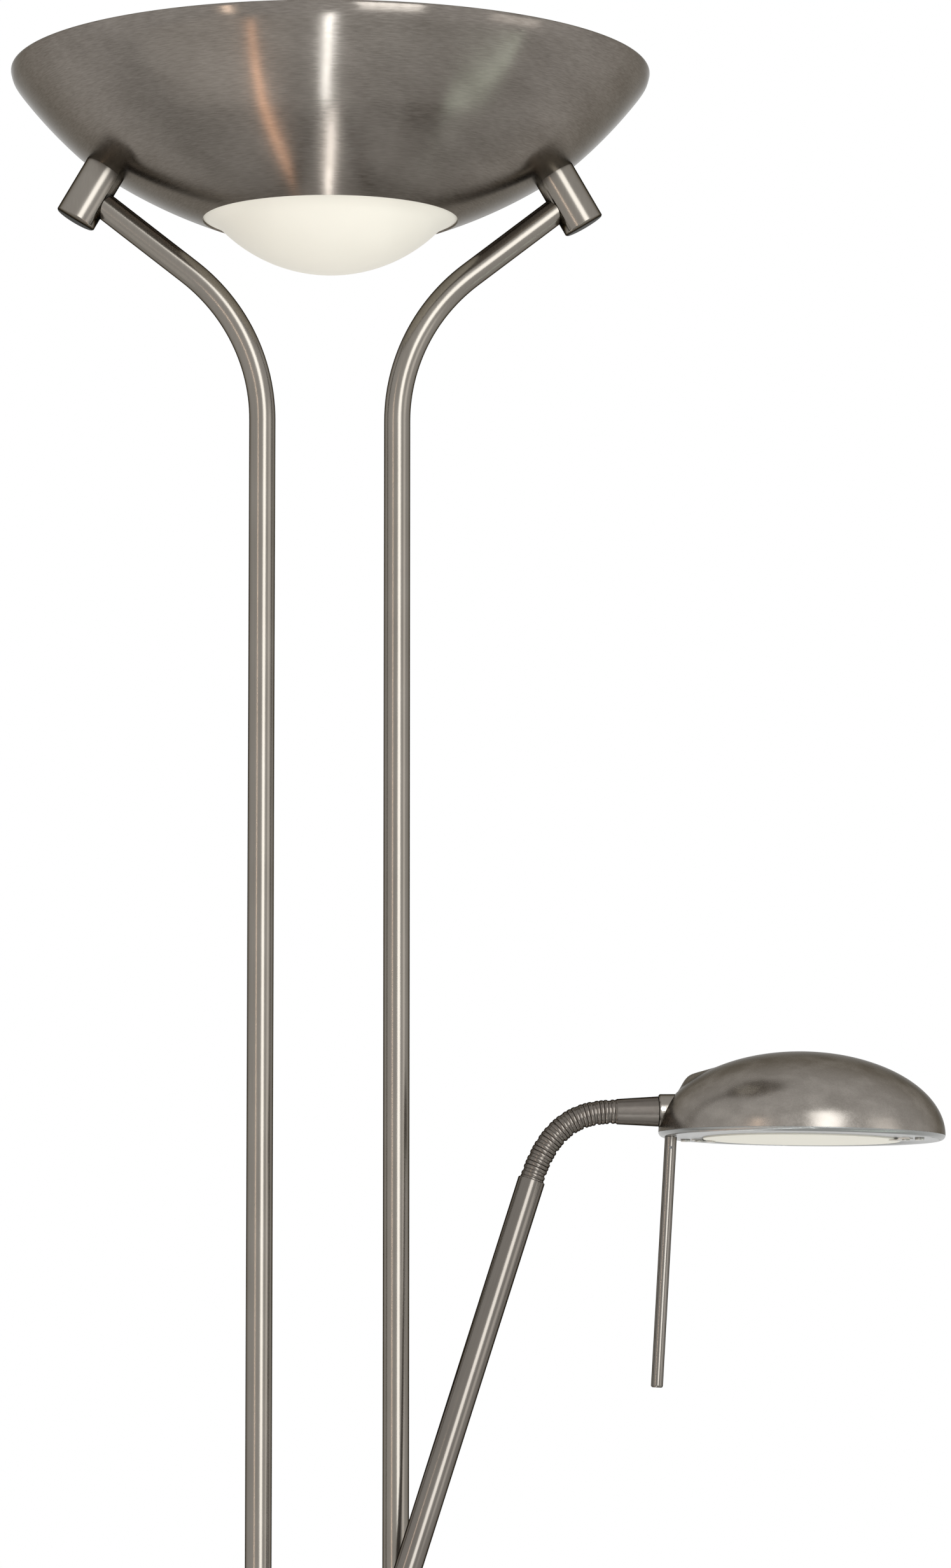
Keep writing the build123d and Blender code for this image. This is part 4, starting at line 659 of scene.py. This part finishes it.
arm = {"pivot": (0, -29.0, 770.0), "lean": 17.74, "length": 386.0, "radius": 8.0, "bore": 6.8,
       "shoulder": 16.0}
armFoot = beyond(arm["pivot"], arm["lean"], arm["shoulder"])
armRun = arm["length"] - arm["shoulder"]
tube = [(arm["bore"], 0), (7.6, 0), (arm["radius"], 0.4), (arm["radius"], armRun - 0.7), (7.75, armRun - 0.2),
        (7.3, armRun), (arm["bore"], armRun), (arm["bore"], 0)]
# the arm tube, knuckle and cap take the darker nickel copy: painted shade
settle(turned("armTube", tube, "satin_arm_painted_shade", leaning(armFoot, arm["lean"]), 56), "arm", "satin_nickel",
       "arm_tube")
settle(copied("armKnuckle", "arm_knuckle", "satin_arm_painted_shade"), "arm", "satin_nickel", "arm_knuckle")
settle(copied("knuckleCap", "knuckle_cap", "satin_arm_painted_shade"), "arm", "satin_nickel", "knuckle_cap")

hose = {"pitch": 8.7, "bends": (5.0, 6.0, 9.0, 11.0, 13.0, 13.0, 10.0, 4.8), "ribs": 3.0, "radius": 7.1,
        "depth": 0.55, "sides": 40, "rings": 46, "steps": 6, "ball": 6.5, "ballFrom": -48, "shank": 3.4,
        "shankFoot": -4.0, "room": 0.086}
armEnd = beyond(arm["pivot"], arm["lean"], arm["length"])


def neckArc(hinge, lean, bend, first, last):  # part of the arc that bends the neck's line round one hinge
    start = beyond(hinge, lean, -hose["pitch"] / 2)
    radius = hose["pitch"] / 2 / tan(radians(bend) / 2)
    heading = radians(lean)
    turns = [radians(lean + bend * (first + (last - first) * step / hose["steps"]))
             for step in range(hose["steps"] + 1)]
    return [(start[0] + radius * (cos(heading) - cos(turn)), start[1],
             start[2] + radius * (sin(turn) - sin(heading))) for turn in turns]


hinge, lean = beyond(armEnd, arm["lean"], hose["pitch"] / 2), arm["lean"]
halves, hinges = [], []
for bend in hose["bends"]:  # the neck's line, two half arcs for each hinge with room between them to turn
    halves.append(neckArc(hinge, lean, bend, 0, 0.5 - hose["room"]))
    halves.append(neckArc(hinge, lean, bend, 0.5 + hose["room"], 1))
    hinges.append((hinge, lean))
    hinge, lean = beyond(hinge, lean + bend, hose["pitch"]), lean + bend
tail, tailLean = beyond(hinge, lean, -hose["pitch"]), lean

neckBodies = ["neck_base"] + [f"neck_link_{number}" for number in range(1, 8)] + ["end_tube"]
runs = [halves[0]] + [before + after[1:] for before, after in zip(halves[1::2], halves[2::2])] + [halves[-1]]
# the hose turns take the darker nickel copy: painted shade
for number, (run, body) in enumerate(zip(runs, neckBodies)):
    share = 0.5 if number in (0, len(runs) - 1) else 1.0
    part = grow(f"hoseTurn{number + 1}", hoseForm, pathCurve(run), {
        "Ribs": hose["ribs"] * share, "Shift": 0.5 if number == 0 else 0.0,
        "Rings": int(hose["rings"] * share), "Valley": (hose["radius"] - hose["depth"]) * mm,
        "Depth": hose["depth"] * mm, "Sides": hose["sides"], "Finish": finishes["neck_nickel_painted_shade"]}, sharp=60)
    settle(part, body, "satin_nickel", *([body] if body != "end_tube" else []))
# the hinge balls take the darker nickel copy too: painted shade
for number, ((spot, heading), body) in enumerate(zip(hinges, neckBodies), start=1):
    ball = [(0, hose["shankFoot"]), (hose["shank"], hose["shankFoot"])]
    ball += arc((0, 0), hose["ball"], hose["ballFrom"], 90, 16)
    settle(turned(f"hoseBall{number}", ball, "neck_nickel_painted_shade", leaning(spot, heading), 40), body, "satin_nickel")

endTube = [(0, 4.0), (7.15, 4.0), (7.45, 4.4), (8.1, 16.0), (8.8, 28.2), (8.6, 28.5), (6.9, 28.5),
           (6.9, 42.3), (4.0, 42.3), (4.0, 30.0), (0, 30.0)]
# the end tube takes the darker nickel copy: painted shade
settle(turned("endTube", endTube, "neck_nickel_painted_shade", leaning(tail, tailLean), 56), "end_tube", "satin_nickel",
       "neck_end_tube")
print("arm and gooseneck made")


# reading head

head = {"centre": (275.676, -29.0, 1164.468), "tilt": 0.8, "radius": 83.8, "height": 48.2, "wall": 1.2,
        "humpRadius": 18.0, "humpSpot": (-57.0, 8.0), "humpHeight": 34.5, "humpSoft": 7.0, "humpPower": 4.5,
        "edge": 0.015, "rows": 54, "sectors": 168, "collarStart": 28.7}
headPlace = leaning(head["centre"], head["tilt"])


def domeHeight(x, y, inset):  # the dome's oval with the hump melted into it
    radius = min(hypot(x, y) / (head["radius"] - inset), 1.0)
    oval = (head["height"] - inset) * sqrt(1 - radius ** 2)
    away = hypot(x - head["humpSpot"][0], y - head["humpSpot"][1]) / (head["humpRadius"] - inset)
    top, power, soft, edge = head["humpHeight"] - inset, head["humpPower"], head["humpSoft"], head["edge"]
    hump = top * (1 - away ** power) if away < 1 else top * (1 - away) * power
    mix = max(0.0, min(1.0, 0.5 + 0.5 * (hump - oval) / soft))
    lift = oval + (hump - oval) * mix + soft * mix * (1 - mix)
    return lift if radius < 1 - edge else oval + (lift - oval) * (1 - radius) / edge


def domeMesh():
    grid = bmesh.new()
    rings = []
    for inset, order in ((0.0, range(1, head["rows"] + 1)), (head["wall"], range(head["rows"], 0, -1))):
        for row in order:
            slant = radians(90.0 * row / head["rows"])
            radius = (head["radius"] - inset) * sin(slant)
            ring = []
            for sector in range(head["sectors"]):
                turn = 2 * pi * sector / head["sectors"]
                x, y = radius * cos(turn), radius * sin(turn)
                ring.append(grid.verts.new((x * mm, y * mm, domeHeight(x, y, inset) * mm)))
            rings.append(ring)
    for first, second in zip(rings, rings[1:]):
        for sector in range(head["sectors"]):
            after = (sector + 1) % head["sectors"]
            grid.faces.new((first[sector], first[after], second[after], second[sector]))
    for ring, inset in ((rings[0], 0.0), (rings[-1], head["wall"])):
        top = grid.verts.new((0, 0, domeHeight(0, 0, inset) * mm))
        for sector in range(head["sectors"]):
            grid.faces.new((top, ring[sector], ring[(sector + 1) % head["sectors"]]))
    mesh = bpy.data.meshes.new("headDome")
    grid.to_mesh(mesh)
    grid.free()
    mesh.materials.append(finishes["dome_nickel"])
    return mesh


settle(solid("headDome", domeMesh(), headPlace, 50), "head", "satin_nickel", "head_shell")
collarStart = beyond(tail, tailLean, head["collarStart"])
collar = [(6.95, 0), (9.3, 0), (10.1, 0.8), (10.1, 18.9), (6.95, 18.9), (6.95, 0)]
settle(turned("headCollar", collar, "satin_nickel", leaning(collarStart, tailLean), 64), "head",
       "satin_nickel", "head_collar")

rod = {"radius": 3.5, "length": 146.0, "lean": 3.4, "back": 76.7, "plate": 2.6, "round": 1.2,
       "rows": (30, 60, 90, 120, 136, 138), "gap": 0.2, "shank": 2.0, "shankLength": 4.4, "hole": 0.9,
       "holeDrop": 6.5, "holeAside": 0.4, "holeDepth": 3.0}
rodTop = beyond(beyond(head["centre"], head["tilt"], -rod["plate"]), head["tilt"] + 90, -rod["back"])
rodEnd = rod["length"] - rod["gap"]
rodRun = [(0, 0)] + arc((rod["radius"] - rod["round"], rod["round"]), rod["round"], -90, 0, 8)
rodRun += [(rod["radius"], height) for height in rod["rows"]]
rodRun += [(rod["radius"], rodEnd), (rod["shank"], rodEnd)]
rodRun += [(rod["shank"], rodEnd + rod["shankLength"]), (0, rodEnd + rod["shankLength"])]
rodFoot = beyond(rodTop, rod["lean"], -rod["length"])
rodPiece = turned("handleRod", rodRun, "rod_nickel", leaning(rodFoot, rod["lean"]), 64)
rodHole = (rodTop[0] - rod["holeAside"], rodTop[1] - rod["radius"], rodTop[2] - rod["holeDrop"])
settle(drilled(rodPiece, rodHole, rod["hole"], rod["holeDepth"]), "head", "satin_nickel", "handle_rod")
for name, node, look, slot in (("headPlate", "head_plate", "plate_enamel", "plate_enamel"),
                               ("headGlass", "head_glass", "frosted_glass", "frosted_glass"),
                               ("glassClips", "glass_clips", "fasteners", "fasteners"),
                               ("headFasteners", "head_fasteners", "fasteners", "fasteners"),
                               ("headReflector", "head_reflector", "reflector", "reflector")):
    settle(copied(name, node, look), "head", slot, node)
print("reading head made")


# finishes of the solids that stay

slotOf = {part["node"]: part["material_slot"] for part in frame["record"]["subparts"]}
for name, node in frame["nodes"].items():
    node.data.materials.clear()
    node.data.materials.append(finishes[slotOf[name]])
print("solids finished")


# floor, background, lamps and camera

ground = {"dark": tint(0.80, 0.80, 0.79), "light": tint(0.86, 0.86, 0.85), "grain": 0.15, "roughness": 0.85,
          "clearFrom": 1.2, "clearTo": 3.0, "radius": 3.2}


def floorRecipe(sheet):
    place = sheet.place()
    grain = sheet.grain(place, (ground["grain"],) * 3, detail=3.0)
    matt = sheet.shader(sheet.blend(grain, ground["dark"], ground["light"]), ground["roughness"])
    split = sheet.node("ShaderNodeSeparateXYZ", None, {"Vector": place})
    away = (split * split + split.also("Y") * split.also("Y")) ** 0.5
    edge = sheet.node("ShaderNodeMapRange", {"interpolation_type": "SMOOTHSTEP"},
                      {"Value": away, "From Min": ground["clearFrom"], "From Max": ground["clearTo"],
                       "To Min": 0.0, "To Max": 1.0})
    clear = sheet.node("ShaderNodeBsdfTransparent")
    return sheet.node("ShaderNodeMixShader", None, {0: edge, 1: matt, 2: clear})


floorMesh = bpy.data.meshes.new("floor")
disc = bmesh.new()
bmesh.ops.create_circle(disc, cap_ends=True, segments=96, radius=ground["radius"])
disc.to_mesh(floorMesh)
disc.free()
floorMesh.materials.append(finish("paleFloor", floorRecipe))
floor = bpy.data.objects.new("floor", floorMesh)
bpy.context.scene.collection.objects.link(floor)

world = bpy.data.worlds.new("studio")
bpy.context.scene.world = world
world.use_nodes = True
world.node_tree.nodes.clear()
sky = Sheet(world.node_tree)
worldLight = {"lit": 0.75, "shown": 1.0}  # strength on the object, and as the background
rays = sky.node("ShaderNodeLightPath", outlet="Is Camera Ray")
shown = rays.math("MINIMUM", rays + rays.also("Is Glossy Ray") + rays.also("Is Transmission Ray"), 1.0)
lit = sky.node("ShaderNodeBackground", None, {"Color": tint(1, 1, 1), "Strength": worldLight["lit"]})
white = sky.node("ShaderNodeBackground", None, {"Color": tint(1, 1, 1), "Strength": worldLight["shown"]})
background = sky.node("ShaderNodeMixShader", None, {0: shown, 1: lit, 2: white})
sky.node("ShaderNodeOutputWorld", None, {"Surface": background})

lamps = {
    "keyBox": {"at": (1.1, -3.3, 2.0), "aim": (0, 0, 1.3),
               "size": (1.4, 3.0), "power": 56, "tone": (0.96, 0.985, 1)},
    "rightGlow": {"at": (2.6, -1.2, 1.4), "aim": (0.2, 0, 1.3),
                  "size": (1.0, 1.6), "power": 5, "tone": (1, 0.98, 0.96)},
    "warmLine": {"at": (-2.2, -2.8, 1.4), "aim": (0, 0, 1.2),
                 "size": (0.14, 2.4), "power": 8, "tone": (1, 0.80, 0.66)},
    "frontStrip": {"at": (-0.06, -1.15, 0.03), "aim": (-0.06, -1.15, 2),
                   "size": (0.03, 1.9), "power": 3.6, "tone": (0.92, 0.97, 1)},
    "flareStrip": {"at": (-0.06, -1.35, 0.03), "aim": (-0.06, -1.35, 2),
                   "size": (0.12, 0.4), "power": 1.2, "tone": (0.92, 0.97, 1)},
    "backStrip": {"at": (0.02, 0.70, 0.03), "aim": (0.02, 0.70, 2),
                  "size": (0.03, 1.0), "power": 1.7, "tone": (1, 1, 1)},
    "warmStrip": {"at": (-0.53, -0.10, 0.03), "aim": (-0.53, -0.10, 2),
                  "size": (0.05, 2.1), "turn": -18.3, "power": 1.6, "tone": (1, 0.55, 0.32)},
    "coolStrip": {"at": (1.30, -0.02, 0.03), "aim": (1.30, -0.02, 2),
                  "size": (0.05, 1.3), "turn": -100, "power": 1.5, "tone": (0.80, 1, 0.86)},
    "leftGlow": {"at": (-1.15, -0.45, 0.03), "aim": (-1.15, -0.45, 2),
                 "size": (1.5, 1.4), "power": 2.2, "tone": (1, 0.97, 0.94)},
}
for name, lamp in lamps.items():
    light = bpy.data.lights.new(name, "AREA")
    light.shape = "RECTANGLE"
    light.size, light.size_y = lamp["size"]
    light.energy = lamp["power"]
    light.color = lamp["tone"]
    holder = bpy.data.objects.new(name, light)
    holder.location = lamp["at"]
    gaze = Vector(lamp["aim"]) - Vector(lamp["at"])
    aimed = gaze.to_track_quat("-Z", "Y").to_matrix().to_4x4()
    holder.rotation_euler = (Matrix.Rotation(radians(lamp.get("turn", 0)), 4, "Z") @ aimed).to_euler()
    holder.visible_camera = False
    bpy.context.scene.collection.objects.link(holder)

photoView = {"at": (-0.1433, -3.7582, 0.963), "lookUp": 6.2, "turn": -3.5, "lens": 147.4,
             "sensor": 36, "farthest": 100}
camera = bpy.data.objects.new("camera", bpy.data.cameras.new("camera"))
camera.location = photoView["at"]
camera.rotation_euler = (radians(90 + photoView["lookUp"]), 0, radians(photoView["turn"]))
camera.data.lens = photoView["lens"]
camera.data.sensor_width = photoView["sensor"]
camera.data.clip_end = photoView["farthest"]
bpy.context.scene.collection.objects.link(camera)
bpy.context.scene.camera = camera
bpy.context.scene.view_settings.view_transform = "Standard"
print("studio made")
